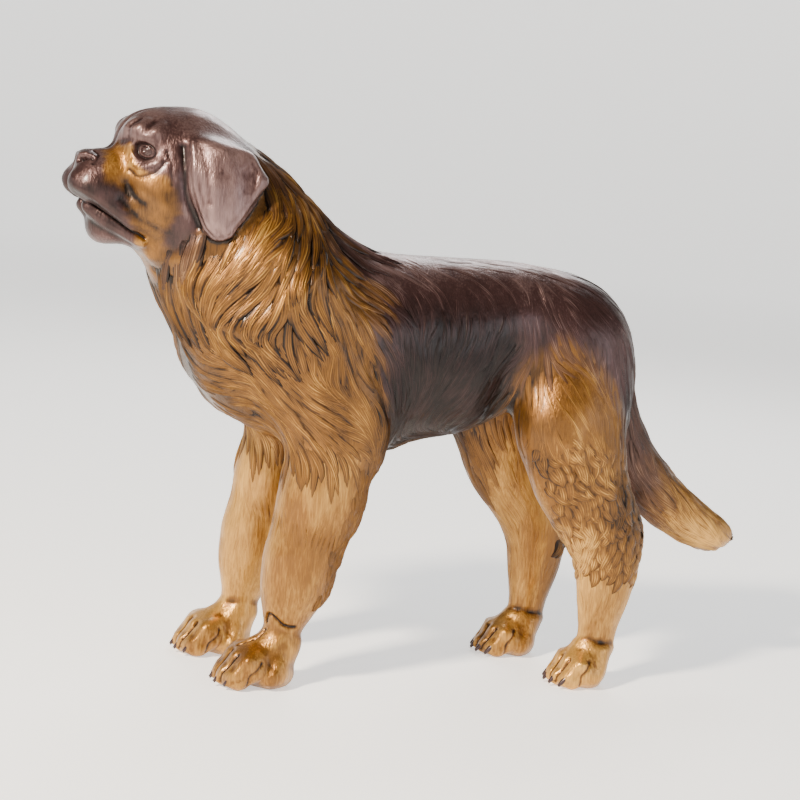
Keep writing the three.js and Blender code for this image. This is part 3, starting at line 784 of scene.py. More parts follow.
    def _paint(self) -> None:
        """Writes the values that the patina reads: how golden and how hollow it is at each point, and its
        painted shade and light.
        """
        model = self.model
        hollow = np.zeros(len(model.points))
        soft = model.points.copy()
        for rounds in (3, 9):
            for _ in range(rounds):
                soft = soft + (model.spread(soft) - soft) * 0.5
            hollow += np.sum((soft - model.points) * self.vertex_normals, axis=1) / (0.35 * rounds**0.6)
        owners = self.owners(model.points)
        ear = np.isin(owners, ("ear_left", "ear_right")).astype(float)
        for _ in range(3):
            ear = model.spread(ear)
        write_values(model.mesh, "gold", Markings.gold(model.points) * (1 - ease(ear, 0.1, 0.7)))
        write_values(model.mesh, "hollow", np.clip(0.36 + np.maximum(hollow * 0.5, -0.07), 0, 1))
        covered = np.zeros(len(model.points))
        for tuft in TUFTS:
            if tuft.dark > 0.3:
                grown = tuft.where(model.points) * ~np.isin(owners, Coat.BARE)
                covered = np.maximum(covered, grown * min(tuft.dark, 1))
        for _ in range(10):
            covered = model.spread(covered)
        # shade carries the painted shade and light of Markings.shade, and a darker patina on the hide under the
        # coat, as in the grooves between the locks
        write_values(model.mesh, "shade", Markings.shade(model.points) + 0.3 * covered)

    def _thin(self) -> None:
        """Takes points out where the hide is smooth, to stay within its limit, and unwraps it again."""
        fine = self.object.data
        triangles = sum(len(p.vertices) - 2 for p in fine.polygons)
        thinner = self.object.modifiers.new("thin", "DECIMATE")
        thinner.ratio = self.most / triangles
        depsgraph = bpy.context.evaluated_depsgraph_get()
        thinned = self.object.evaluated_get(depsgraph)
        thin = bpy.data.meshes.new_from_object(thinned, preserve_all_data_layers=True, depsgraph=depsgraph)
        self.object.modifiers.clear()
        self.object.data = thin
        bpy.data.meshes.remove(fine)
        thin.name = "hide"
        thin.uv_layers.remove(thin.uv_layers["OFBake"])
        unwrap(self.object)

    def _faces(self) -> tuple[Array, Array]:
        """Measures the faces.

        Returns:
            The middle of each face in sculptor's millimetres, and the smoothed way out of it.
        """
        mesh = self.model.mesh
        centres = np.array([p.center for p in mesh.polygons])
        normals = np.array([self.vertex_normals[list(p.vertices)].mean(axis=0) for p in mesh.polygons])
        return to_sculptor(centres), unit(normals)


def write_values(mesh: bpy.types.Mesh, name: str, values: Array) -> None:
    """Stores one number for each point of a mesh under a name that its finish reads."""
    layer = mesh.attributes.new(name, "FLOAT", "POINT")
    layer.data.foreach_set("value", values.astype(np.float32))


def unwrap(thing: bpy.types.Object) -> None:
    """Unwraps the surface of an object.

    Args:
        thing: The object, which gets a UV map named OFBake.
    """
    thing.data.uv_layers.new(name="OFBake")
    bpy.context.view_layer.objects.active = thing
    thing.select_set(True)
    bpy.ops.object.mode_set(mode="EDIT")
    bpy.ops.mesh.select_all(action="SELECT")
    bpy.ops.uv.smart_project(angle_limit=math.radians(66), island_margin=0.002)
    bpy.ops.object.mode_set(mode="OBJECT")
    thing.select_set(False)


def face_places(mesh: bpy.types.Mesh) -> Array:
    """Finds where each face lies on the unwrap.

    Args:
        mesh: The unwrapped mesh.

    Returns:
        The middle of each face in its UV map.
    """
    flat = np.empty(len(mesh.loops) * 2)
    mesh.uv_layers["OFBake"].data.foreach_get("uv", flat)
    pairs = flat.reshape(-1, 2)
    starts = np.empty(len(mesh.polygons), np.int64)
    mesh.polygons.foreach_get("loop_start", starts)
    return (pairs[starts] + pairs[starts + 2]) / 2


@dataclass(frozen=True)
class Paw:
    """Where one paw stands: its side, the X of its foremost toe and its size."""

    side: int
    toe: float
    size: float

    def y(self, across: float) -> float:
        """The Y of a line that far across the paw."""
        return self.side * LEG_OUT + across * self.size * 1.06


HIND_TOE = 266
STRIDE = 46 * 1.2  # how far the far hind paw stands ahead of the near one
PAWS = (Paw(-1, -324, 1.06), Paw(1, -341, 1.06), Paw(-1, HIND_TOE, 0.95), Paw(1, HIND_TOE - STRIDE, 0.95))
CLAWS_ACROSS = (-34, -12, 12, 34)  # from the middle of the paw


@dataclass
class Claws:
    """The short blunt claws, four on each paw, in one piece."""

    root: float = 7.2
    tip: float = 2.6
    long: float = 24
    bend: float = 5  # mm that the tip lies below the line of the root
    tilt: float = -118  # degrees from upright

    def build(self) -> bpy.types.Object:
        """Makes the claws.

        Returns:
            Their object.
        """
        work = bmesh.new()
        for paw in PAWS:
            for across in CLAWS_ACROSS:
                self._add(work, paw, across)
        mesh = bpy.data.meshes.new("claws")
        bmesh.ops.recalc_face_normals(work, faces=work.faces)
        work.to_mesh(mesh)
        work.free()
        return smooth_object(mesh)

    def _add(self, work: bmesh.types.BMesh, paw: Paw, across: float) -> None:
        """Adds one claw, bent down towards its tip.

        Args:
            work: The mesh of all the claws.
            paw: The paw that it grows on.
            across: How far from the middle of the paw, in millimetres of a paw of size one.
        """
        reach = paw.toe + abs(across * paw.size) * 0.42
        made = bmesh.ops.create_cone(
            work, cap_ends=True, segments=10, radius1=self.root, radius2=self.tip, depth=self.long
        )
        edges = {edge for vertex in made["verts"] for edge in vertex.link_edges}
        rings = [edge for edge in edges if abs(edge.verts[0].co.z - edge.verts[1].co.z) > 1]
        bmesh.ops.subdivide_edges(work, edges=rings, cuts=4)
        verts = [v for v in work.verts if not v.tag]
        place = Matrix.Translation((reach + 5, paw.y(across), FLOOR_Z + 17 * paw.size))
        turn = Matrix.Rotation(math.radians(self.tilt), 4, "Y")
        for vertex in verts:
            share = vertex.co.z / self.long + 0.5
            vertex.co.x -= self.bend * share * share
            vertex.co = place @ turn @ vertex.co
            vertex.co = Vector(to_frame(np.array(vertex.co)))
            vertex.tag = True


@dataclass
class Eye:
    """One eyeball, with the iris cut as a ring and the pupil as a hole, as sculptors do."""

    side: int
    iris: float = 5.8
    pupil: float = 2.4

    def build(self) -> bpy.types.Object:
        """Makes the eyeball.

        Returns:
            Its object.
        """
        work = bmesh.new()
        bmesh.ops.create_uvsphere(work, u_segments=64, v_segments=48, radius=EYE_RADIUS - 0.2)
        out = Vector((-0.78, 0.60 * self.side, 0.10)).normalized()
        turn = Vector((0, 0, 1)).rotation_difference(out).to_matrix()
        centre = Vector((EYE_X, EYE_Y * self.side, EYE_Z))
        for vertex in work.verts:
            from_axis = math.hypot(vertex.co.x, vertex.co.y)
            if vertex.co.z > 0:
                ring = math.exp(-(((from_axis - self.iris) / 0.7) ** 2)) * 0.8
                hole = 2.2 * float(ease(np.array(from_axis), self.pupil + 0.7, self.pupil - 0.7))
                vertex.co *= 1 - (ring + hole) / EYE_RADIUS
            vertex.co = Vector(to_frame(np.array(centre + turn @ vertex.co)))
        mesh = bpy.data.meshes.new("eyeball_left" if self.side < 0 else "eyeball_right")
        work.to_mesh(mesh)
        work.free()
        return smooth_object(mesh)


@dataclass
class Tuft:
    """The run of the carved locks of one region: where they grow, their sizes and how proud they stand."""

    name: str
    spacing: float
    long: float
    wide: float
    thick: float
    where: Region
    lift: float = 0.0
    curl: float = 0.0
    sink: float = 1.2
    dark: float = 1.0
    base: float = 0.38
    rings: int = 11
    low: float = -50.0  # height that the locks' tips stop at
    top: float = 2000.0  # height of the region's upper border, where the locks thin out
    seed: int = 1
    slot: Slot = Slot.GOLD


def outside_head(p: Array) -> Array:
    """True behind the cut of the nape and below the throat."""
    return 0.85 * (p[:, 0] + 392) - 0.53 * (p[:, 2] - 780) > 0


@dataclass
class Coat:
    """Carved locks over the hide, each a low ridged ribbon that follows the lie."""

    hide: Hide
    across: int = 11  # points across a lock, which give it five strands
    patch: float = 0.0015  # half the side of a lock's patch on the unwrap
    apart: float = 37.0  # mm between the strands of one lock and the next on the map of strands
    shortest: float = 0.4  # share of its region's length under which a lock is left out
    furrow: float = 0.56  # height between two strands, as a share of theirs

    BARE: ClassVar[tuple[str, ...]] = ("ear_left", "ear_right", "head", "jaw", "nose")  # castings with no locks

    # along a lock from its root: its width, and how far its back stands out, in shares of the full ones
    ALONG_WIDE: ClassVar[tuple[float, ...]] = (0, 0.1, 0.2, 0.5, 0.78, 1)
    WIDE: ClassVar[tuple[float, ...]] = (0.08, 0.55, 0.85, 1, 0.78, 0.04)
    ALONG_HIGH: ClassVar[tuple[float, ...]] = (0, 0.1, 0.3, 0.55, 0.85, 1)
    HIGH: ClassVar[tuple[float, ...]] = (-1.1, -0.4, 0.6, 1, 0.6, -0.1)

    def seeds(self, tuft: Tuft) -> tuple[Array, Array]:
        """Scatters roots over a region, no nearer to each other than its spacing allows.

        Args:
            tuft: The region and its sizes.

        Returns:
            The places of the roots and the faces of the hide that they stand on.
        """
        hide = self.hide
        chosen = np.nonzero(tuft.where(hide.centres) & ~np.isin(hide.face_castings, self.BARE))[0]
        draw = np.random.default_rng(tuft.seed)
        order = draw.permutation(chosen)
        taken: dict[tuple[int, int, int], list[Array]] = {}
        kept = []
        for face in order:
            place = hide.centres[face]
            cell = tuple(int(c // tuft.spacing) for c in place)
            near = [
                other
                for dx in (-1, 0, 1) for dy in (-1, 0, 1) for dz in (-1, 0, 1)
                for other in taken.get((cell[0] + dx, cell[1] + dy, cell[2] + dz), ())
            ]
            if all(np.dot(place - other, place - other) > tuft.spacing**2 for other in near):
                taken.setdefault(cell, []).append(place)
                kept.append(face)
        return hide.centres[kept], np.array(kept)

    def build(self, tuft: Tuft) -> bpy.types.Object:
        """Grows the locks of one region.

        Args:
            tuft: The region, and the sizes of its locks.

        Returns:
            Their object.
        """
        places, faces = self.seeds(tuft)
        draw = np.random.default_rng(tuft.seed + 100)
        count, rings, across = len(places), tuft.rings, self.across
        long = tuft.long * draw.uniform(0.72, 1.25, count)
        wide = tuft.wide * draw.uniform(0.75, 1.2, count)
        thick = tuft.thick * draw.uniform(0.65, 1.25, count)
        long = np.minimum(long, np.maximum(places[:, 2] - tuft.low, 12))
        thick *= 0.2 + 0.8 * ease(places[:, 2], tuft.top, tuft.top - 60)
        veer = draw.normal(0, 0.10, count)
        bend = draw.choice((-1, 1), count) * tuft.curl * draw.uniform(0.5, 1.3, count)
        share = np.linspace(0, 1, rings)
        turns = veer[:, None] + bend[:, None] * (np.arange(rings) / (rings - 1)) ** 1.3
        centre, side, out, kept = self._lay(places, faces, long / (rings - 1), turns)
        kept &= long > self.shortest * tuft.long
        centre, side, out, faces = centre[kept], side[kept], out[kept], faces[kept]
        long, wide, thick = long[kept], wide[kept], thick[kept]
        count = len(faces)
        for _ in range(2):
            centre[:, 1:-1] = centre[:, 1:-1] * 0.5 + (centre[:, 2:] + centre[:, :-2]) * 0.25
            side[:, 1:-1] = unit(side[:, 1:-1] * 0.5 + (side[:, 2:] + side[:, :-2]) * 0.25)
            out[:, 1:-1] = unit(out[:, 1:-1] * 0.5 + (out[:, 2:] + out[:, :-2]) * 0.25)
        span = np.linspace(-1, 1, across)
        full = np.interp(share, self.ALONG_WIDE, self.WIDE)
        rise = np.interp(share, self.ALONG_HIGH, self.HIGH)
        ridge = np.where(np.arange(across) % 2 == 1, 1.0, self.furrow)
        ridge = ridge[None, :] * draw.uniform(0.82, 1.15, (count, across))
        arch = (1 - np.abs(span) ** 2.4) * ridge
        arch[:, 0] = arch[:, -1] = 0
        height = rise[None, :, None] * arch[:, None, :] + tuft.lift * share[None, :, None] ** 2
        height *= thick[:, None, None]
        height -= tuft.sink * (0.35 + 0.65 * np.abs(span)[None, None, :] ** 3)
        offset = span[None, None, :] * full[None, :, None] * wide[:, None, None] / 2
        points = centre[:, :, None, :] + side[:, :, None, :] * offset[..., None]
        points += out[:, :, None, :] * height[..., None]
        hollow = 1.15 - arch[:, None, :] * (0.4 + 0.6 * np.clip(rise, 0, 1))[None, :, None]
        rooted = ease(share, 0.02, 0.25)[None, :, None]
        hollow = np.clip(tuft.base + (hollow * rooted + 0.5 * (1 - rooted) - 0.38) * tuft.dark, 0, 1)
        uv = self._patches(faces, share, span)
        return self._mesh(tuft, points, hollow, uv, long, wide)

    def _lay(
        self, places: Array, faces: Array, steps: Array, turns: Array
    ) -> tuple[Array, Array, Array, Array]:
        """Lays every lock on the hide, step by step along the lie.

        Args:
            places: Where the locks are rooted.
            faces: The faces of the hide that they are rooted on.
            steps: How far each lock goes from one of its rings to the next.
            turns: How far each ring of each lock turns from the lie, in radians.

        Returns:
            The middle of each ring, the way across it, the way out of it, and which locks stay off the
            bare castings.
        """
        hide = self.hide
        count, rings = turns.shape
        centre, side, out = np.empty((3, count, rings, 3))
        bare = np.isin(hide.face_castings, self.BARE)
        kept = np.ones(count, bool)
        for i in range(count):
            place, face = Vector(places[i]), int(faces[i])
            for j in range(rings):
                normal, way = hide.face_normals[face], hide.lie[face]
                centre[i, j], out[i, j] = place, normal
                beside = np.cross(normal, way)
                way = way * math.cos(turns[i, j]) + beside * math.sin(turns[i, j])
                side[i, j] = np.cross(normal, way)
                place, _, face, _ = hide.tree.find_nearest(place + Vector(way * steps[i]))
                kept[i] &= not bare[face]
        return centre, side, out, kept

    def _patches(self, faces: Array, share: Array, span: Array) -> Array:
        """Gives each lock a small patch at its root's place on the hide's unwrap.

        Args:
            faces: The faces of the hide that the locks are rooted on.
            share: How far along the lock each ring lies, from 0 to 1.
            span: How far across the ring each point lies, from -1 to 1.

        Returns:
            A place in the UV map for each point of each lock.
        """
        root = self.hide.unwrapped[faces]
        u = root[:, 0][:, None, None] + span[None, None, :] * self.patch + share[None, :, None] * 0
        v = root[:, 1][:, None, None] + (share[None, :, None] * 2 - 1) * self.patch + span[None, None, :] * 0
        return np.stack([u, v], axis=-1)

    def _mesh(
        self, tuft: Tuft, points: Array, hollow: Array, uv: Array, long: Array, wide: Array
    ) -> bpy.types.Object:
        """Joins the locks as one mesh of closed ribbons, with their maps and values.

        Args:
            tuft: The region.
            points: The places of all points, by lock, ring and point across.
            hollow: How deep in a groove each of them lies, from 0 to 1.
            uv: Its place in the map OFBake.
            long: The length of each lock.
            wide: The width of each lock.

        Returns:
            The object.
        """
        count, rings, across, _ = points.shape
        ring_ids = np.arange(rings * across).reshape(rings, across)
        ahead = np.roll(np.arange(across), -1)
        quads = np.stack([
            ring_ids[:-1][:, ahead], ring_ids[:-1], ring_ids[1:], ring_ids[1:][:, ahead],
        ], axis=-1).reshape(-1, 4)
        caps = np.concatenate([ring_ids[0], ring_ids[-1][::-1]])
        per = rings * across
        corners = np.concatenate([quads.ravel(), caps])
        all_corners = (corners[None, :] + (np.arange(count) * per)[:, None]).ravel()
        sizes = np.concatenate([np.full(len(quads), 4), [across, across]])
        all_sizes = np.tile(sizes, count)
        mesh = bpy.data.meshes.new(tuft.name)
        flat = to_frame(points.reshape(-1, 3))
        mesh.vertices.add(len(flat))
        mesh.vertices.foreach_set("co", flat.ravel())
        mesh.loops.add(len(all_corners))
        mesh.loops.foreach_set("vertex_index", all_corners)
        mesh.polygons.add(len(all_sizes))
        mesh.polygons.foreach_set("loop_start", np.concatenate([[0], np.cumsum(all_sizes)[:-1]]))
        mesh.update(calc_edges=True)
        mesh.uv_layers.new(name="OFBake").data.foreach_set("uv", uv.reshape(-1, 2)[all_corners].ravel())
        strands = np.stack(np.broadcast_arrays(
            np.linspace(-0.5, 0.5, across)[None, None, :] * wide[:, None, None]
            + np.arange(count)[:, None, None] * self.apart,
            np.linspace(0, 1, rings)[None, :, None] * long[:, None, None],
        ), axis=-1)
        mesh.uv_layers.new(name="strands").data.foreach_set("uv", strands.reshape(-1, 2)[all_corners].ravel())
        here = Markings.gold(points.reshape(-1, 3)).reshape(points.shape[:3])
        carried = 0.4 * here + 0.6 * here[:, :1].mean(axis=2, keepdims=True)
        write_values(mesh, "gold", carried.reshape(-1))
        write_values(mesh, "hollow", hollow.reshape(-1))
        # the locks carry the same painted shade and light as the hide
        write_values(mesh, "shade", Markings.shade(points.reshape(-1, 3)))
        return smooth_object(mesh)


def above_ruff(p: Array) -> Array:
    """How far each place lies above the ruff's overhanging edge, in millimetres."""
    return p[:, 2] - np.interp(p[:, 0], Hide.RUFF_X, Hide.RUFF_Z)


def is_ruff(p: Array) -> Array:
    """True on the ruff, from behind the ears to its overhanging edge."""
    return outside_head(p) & (above_ruff(p) > 12) & (p[:, 0] < -170) & (p[:, 2] > 560)


def is_tail(p: Array) -> Array:
    """True on the tail below its root."""
    x, y, z = p.T
    return (np.abs(y) < 50) & (x > 345) & ((z < 575) & (x + 0.1 * z > 392) | (x > 420)) & (z > 200)


def is_chest(p: Array) -> Array:
    """True on the chest in front of the shoulders."""
    return (above_ruff(p) <= 14) & (p[:, 0] < -292) & (p[:, 2] > 385) & (p[:, 2] < 640)


def is_shoulder(p: Array) -> Array:
    """True on the shoulder and the upper arm."""
    return (above_ruff(p) <= 14) & (p[:, 0] >= -300) & (p[:, 0] < -92) & (p[:, 2] > 395) & ~is_back(p)


def is_back(p: Array) -> Array:
    """True along the top of the back, from the withers to the loin."""
    return (p[:, 0] >= -150) & (p[:, 0] < 165) & (p[:, 2] >= 645)


def is_barrel(p: Array) -> Array:
    """True on the ribs and the flank."""
    return (p[:, 0] >= -110) & (p[:, 0] < 165) & (p[:, 2] > 345) & (p[:, 2] < 645) & (np.abs(p[:, 1]) > 12)


def is_rump(p: Array) -> Array:
    """True on the loin's end, the rump and the upper thigh."""
    return (p[:, 0] >= 160) & (p[:, 2] > 440) & ~is_tail(p)


def is_shingled(p: Array) -> Array:
    """Says which places lie on the outer and hind face of the lower thigh, where locks are short and curled.

    Args:
        p: Places in sculptor's millimetres.

    Returns:
        True for those that do.
    """
    x, y, z = p.T
    outer = (np.abs(y) > 92) & (x > 190 + (400 - z) * 0.42)
    behind = x > 322 + (430 - z) * 0.10
    return (z <= 440) & (z > 205) & (x < 425) & (outer | behind) & ~is_tail(p)


def is_fringed(p: Array) -> Array:
    """Says which places lie on the hind edge of the forelegs and their elbows.

    Args:
        p: Places in sculptor's millimetres.

    Returns:
        True for those that do.
    """
    x, z = p[:, 0], p[:, 2]
    back = x > np.interp(z, (100, 200, 300, 400), (-178, -150, -128, -112))
    return (z <= 400) & (z > 120) & (x < -40) & back


def is_leg(p: Array) -> Array:
    """Says which places lie on the smooth faces of the legs above the paws.

    Args:
        p: Places in sculptor's millimetres.

    Returns:
        True for those that do.
    """
    x, z = p[:, 0], p[:, 2]
    fore = (x < -100) & (z < 395)
    hind = (x > 120) & (x < 420) & (z < 430) & ~is_tail(p)
    return (fore | hind) & (z > 108) & ~is_fringed(p) & ~is_shingled(p)


TUFTS = (
    Tuft("coat_ruff", 13.5, 124, 22, 6.4, is_ruff, lift=0.4, seed=21, dark=1.15),
    Tuft("coat_chest", 13, 92, 17, 3.4, is_chest, seed=22, dark=1),
    Tuft("coat_shoulder", 13, 104, 17, 3.4, is_shoulder, seed=23, dark=0.95),
    Tuft("coat_back", 16, 110, 15, 1.4, is_back, seed=30, slot=Slot.BROWN, dark=0.7),
    Tuft("coat_barrel", 14, 108, 15, 2.6, is_barrel, seed=24, slot=Slot.BROWN, dark=0.75),
    Tuft("coat_rump", 15, 100, 14, 1.9, is_rump, seed=25, slot=Slot.BROWN, dark=0.7),
    Tuft("coat_thigh", 12.5, 44, 21, 3.8, is_shingled, lift=0.25, curl=1, seed=26, rings=8, dark=0.9,
         top=442),
    Tuft("coat_fringe", 11, 50, 15, 3.4, is_fringed, lift=0.3, curl=0.5, seed=27, rings=8, dark=0.5, low=118),
    Tuft("coat_legs", 15, 116, 8, 0.8, is_leg, seed=28, rings=9, sink=0.4, dark=0.12, base=0.31, low=118),
    Tuft("coat_tail", 11, 96, 15, 3.2, is_tail, lift=0.1, seed=29, dark=0.8),
)


def add_node(
    tree: bpy.types.NodeTree, kind: str, settings: dict | None = None, links: dict | None = None
) -> bpy.types.Node:
    """Adds one shader node.

    Args:
        tree: The material's nodes.
        kind: The type of node.
        settings: Values by property name, or by input name or number.
        links: Sockets to join to inputs, by input name or number.

    Returns:
        The new node.
    """
    node = tree.nodes.new(kind)
    for name, value in (settings or {}).items():
        if isinstance(name, str) and hasattr(node, name):
            setattr(node, name, value)
        else:
            node.inputs[name].default_value = value
    for name, socket in (links or {}).items():
        tree.links.new(socket, node.inputs[name])
    return node


@dataclass(frozen=True)
class Patina:
    """Hot patina on cast bronze under wax: glossy, thin and bright on the ridges, dark in the grooves."""

    MIDDLE: ClassVar[float] = 0.42  # depth at which the ridges' colour has given way to the middle one

    name: str
    gold_ridge: str = "#D4A04E"
    gold: str = "#7C511C"
    gold_groove: str = "#1A0E05"
    brown_ridge: str = "#846A66"
    brown: str = "#432D2B"
    brown_groove: str = "#150B08"
    metallic: float = 0.68
    rough_low: float = 0.28
    rough_high: float = 0.44
    wax: float = 0.18
    wax_roughness: float = 0.16
    grain_mm: float = 1.6  # width of the finest strands that the graver left
    grain_depth: float = 1.05  # mm, deeper than the real strands so that they show in the render
    strand_mm: float = 40  # how far one strand runs along a lock
    hide_strand_mm: float = 26  # and on the bare hide
    by_strand: bool = False

    def make(self) -> bpy.types.Material:
        """Makes the material.

        Returns:
            The material, for pieces with the values gold, hollow and shade.
        """
        material = bpy.data.materials.new(self.name)
        material.use_nodes = True
        tree = material.node_tree
        shader = tree.nodes["Principled BSDF"]
        place = add_node(tree, "ShaderNodeTexCoord").outputs["Object"]
        gold = add_node(tree, "ShaderNodeAttribute", {"attribute_name": "gold"}).outputs["Fac"]
        hollow = add_node(tree, "ShaderNodeAttribute", {"attribute_name": "hollow"}).outputs["Fac"]
        # clouds of thinner and thicker patina, about 60 mm and 12 mm across
        drawn = add_node(tree, "ShaderNodeMapping", {"Scale": (1.0, 1.0, 0.35)}, {"Vector": place}).outputs[0]
        clouds = {"Scale": 20.0, "Detail": 5.0, "Roughness": 0.6}
        cloud = add_node(tree, "ShaderNodeTexNoise", clouds, {"Vector": drawn}).outputs["Fac"]
        flecks = {"Scale": 85.0, "Detail": 3.0}
        fleck = add_node(tree, "ShaderNodeTexNoise", flecks, {"Vector": place}).outputs["Fac"]
        grain = self._grain(tree, place)
        share = {"operation": "MULTIPLY_ADD", 1: 0.75, 2: -0.32}
        clouded = add_node(tree, "ShaderNodeMath", share, {0: cloud})
        share = {"operation": "MULTIPLY_ADD", 1: 0.42, 2: -0.21}
        grained = add_node(tree, "ShaderNodeMath", share, {0: grain})
        # the value shade darkens the patina with painted shade or lightens it with painted light, as though the
        # place lay deeper in a groove or higher on a ridge
        shade = add_node(tree, "ShaderNodeAttribute", {"attribute_name": "shade"}).outputs["Fac"]
        hollow = add_node(tree, "ShaderNodeMath", {"operation": "ADD"}, {0: hollow, 1: shade}).outputs[0]
        depth = add_node(tree, "ShaderNodeMath", {"operation": "ADD"}, {0: hollow, 1: clouded.outputs[0]})
        depth = add_node(
            tree, "ShaderNodeMath", {"operation": "ADD", "use_clamp": True},
            {0: depth.outputs[0], 1: grained.outputs[0]},
        )
        golden = self._ramp(tree, depth.outputs[0], (self.gold_ridge, self.gold, self.gold_groove))
        brown = self._ramp(tree, depth.outputs[0], (self.brown_ridge, self.brown, self.brown_groove))
        colour = add_node(tree, "ShaderNodeMix", {"data_type": "RGBA"}, {0: gold, 6: brown, 7: golden})
        rough = add_node(
            tree, "ShaderNodeMapRange", {3: self.rough_low, 4: self.rough_high, 1: 0.3, 2: 0.7}, {0: fleck}
        )
        fine = add_node(
            tree, "ShaderNodeBump", {"Strength": 0.8, "Distance": self.grain_depth * MM}, {"Height": grain}
        )
        pits = add_node(
            tree, "ShaderNodeBump", {"Strength": 0.25, "Distance": 0.6 * MM},
            {"Height": fleck, "Normal": fine.outputs[0]},
        )
        tree.links.new(colour.outputs[2], shader.inputs["Base Color"])
        tree.links.new(rough.outputs[0], shader.inputs["Roughness"])
        tree.links.new(pits.outputs[0], shader.inputs["Normal"])
        shader.inputs["Metallic"].default_value = self.metallic
        shader.inputs["Coat Weight"].default_value = self.wax
        shader.inputs["Coat Roughness"].default_value = self.wax_roughness
        return material

    def _grain(self, tree: bpy.types.NodeTree, place: bpy.types.NodeSocket) -> bpy.types.NodeSocket:
        """Adds the fine strands, along each lock or down the short coat of the bare hide.

        Args:
            tree: The material's nodes.
            place: The socket of the Object coordinates.

        Returns:
            The socket that says how far each strand stands out.
        """
        if self.by_strand:
            place = add_node(tree, "ShaderNodeUVMap", {"uv_map": "strands"}).outputs[0]
            stretch = (1 / self.grain_mm, 1 / self.strand_mm, 1)
        else:
            across = 1 / (2 * self.grain_mm * MM)
            stretch = (across, across, 1 / (self.hide_strand_mm * MM))
        drawn = add_node(tree, "ShaderNodeMapping", {"Scale": stretch}, {"Vector": place}).outputs[0]
        strands = {"Scale": 1.0, "Detail": 2.0, "Roughness": 0.6}
        return add_node(tree, "ShaderNodeTexNoise", strands, {"Vector": drawn}).outputs["Fac"]

    @staticmethod
    def _ramp(
        tree: bpy.types.NodeTree, depth: bpy.types.NodeSocket, colours: tuple[str, str, str]
    ) -> bpy.types.NodeSocket:
        """Adds a ramp of colours.

        Args:
            tree: The material's nodes.
            depth: The socket that says how deep in a groove a place lies, from 0 to 1.
            colours: The colour of the ridges, the one between and the grooves'.

        Returns:
            The socket of the colour.
        """
        ramp = add_node(tree, "ShaderNodeValToRGB", links={"Fac": depth})
        ramp.color_ramp.elements[0].color = linear(colours[0])
        ramp.color_ramp.elements[1].color = linear(colours[2])
        ramp.color_ramp.elements.new(Patina.MIDDLE).color = linear(colours[1])
        return ramp.outputs["Color"]


@dataclass(frozen=True)
class DarkBronze:
    """Dark brown patina on smooth cast bronze, polished by the sculptor: eyes and claws."""

    name: str
    colour: str = "#2E201E"
    fleck: str = "#4A3634"
    metallic: float = 0.35
    roughness: float = 0.24

    def make(self) -> bpy.types.Material:
        """Makes the material.

        Returns:
            The material.
        """
        material = bpy.data.materials.new(self.name)
        material.use_nodes = True
        tree = material.node_tree
        shader = tree.nodes["Principled BSDF"]
        place = add_node(tree, "ShaderNodeTexCoord").outputs["Object"]
        cloud = add_node(tree, "ShaderNodeTexNoise", {"Scale": 240.0, "Detail": 3.0}, {"Vector": place})
        colour = add_node(
            tree, "ShaderNodeMix", {"data_type": "RGBA", 6: linear(self.colour), 7: linear(self.fleck)},
            {0: cloud.outputs["Fac"]},
        )
        bump = add_node(
            tree, "ShaderNodeBump", {"Strength": 0.2, "Distance": 0.3 * MM}, {"Height": cloud.outputs["Fac"]}
        )
        tree.links.new(colour.outputs[2], shader.inputs["Base Color"])
        tree.links.new(bump.outputs[0], shader.inputs["Normal"])
        shader.inputs["Metallic"].default_value = self.metallic
        shader.inputs["Roughness"].default_value = self.roughness
        return material


class Statue:
    """The whole statue: hide, coat, eyes and claws, in the order in which they are made."""

    def build(self) -> None:
        """Makes every piece, dresses it and hides the nodes that it replaces."""
        hide = Hide()
        skin = hide.build()
        self._place(skin, Patina("patina_on_cast_hide").make(), Slot.BROWN, *hide.castings)
        for side, node in ((-1, "eye_left"), (1, "eye_right")):
            polished = DarkBronze("polished_eye_bronze", roughness=0.16).make()
            self._place(Eye(side).build(), polished, Slot.BROWN, node)
        self._place(Claws().build(), DarkBronze("dark_claw_bronze").make(), Slot.GOLD)
        coat = Coat(hide)
        carved = Patina("patina_on_carved_locks", by_strand=True).make()
        for tuft in TUFTS:
            self._place(coat.build(tuft), carved, tuft.slot)

    @staticmethod
    def _place(piece: bpy.types.Object, material: bpy.types.Material, slot: Slot, *nodes: str) -> None:
        """Dresses a piece, hangs it on the part and hides the nodes that it replaces.

        Args:
            piece: The piece, which rides on the part.
            material: Its finish.
            slot: Not used.
            nodes: The nodes that it replaces.
        """
        piece.data.materials.clear()
        piece.data.materials.append(material)
        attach(piece, "root")
        if nodes:
            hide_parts(*nodes)
        triangles = sum(len(p.vertices) - 2 for p in piece.data.polygons)
        log.info("%s: %d triangles", piece.name, triangles)


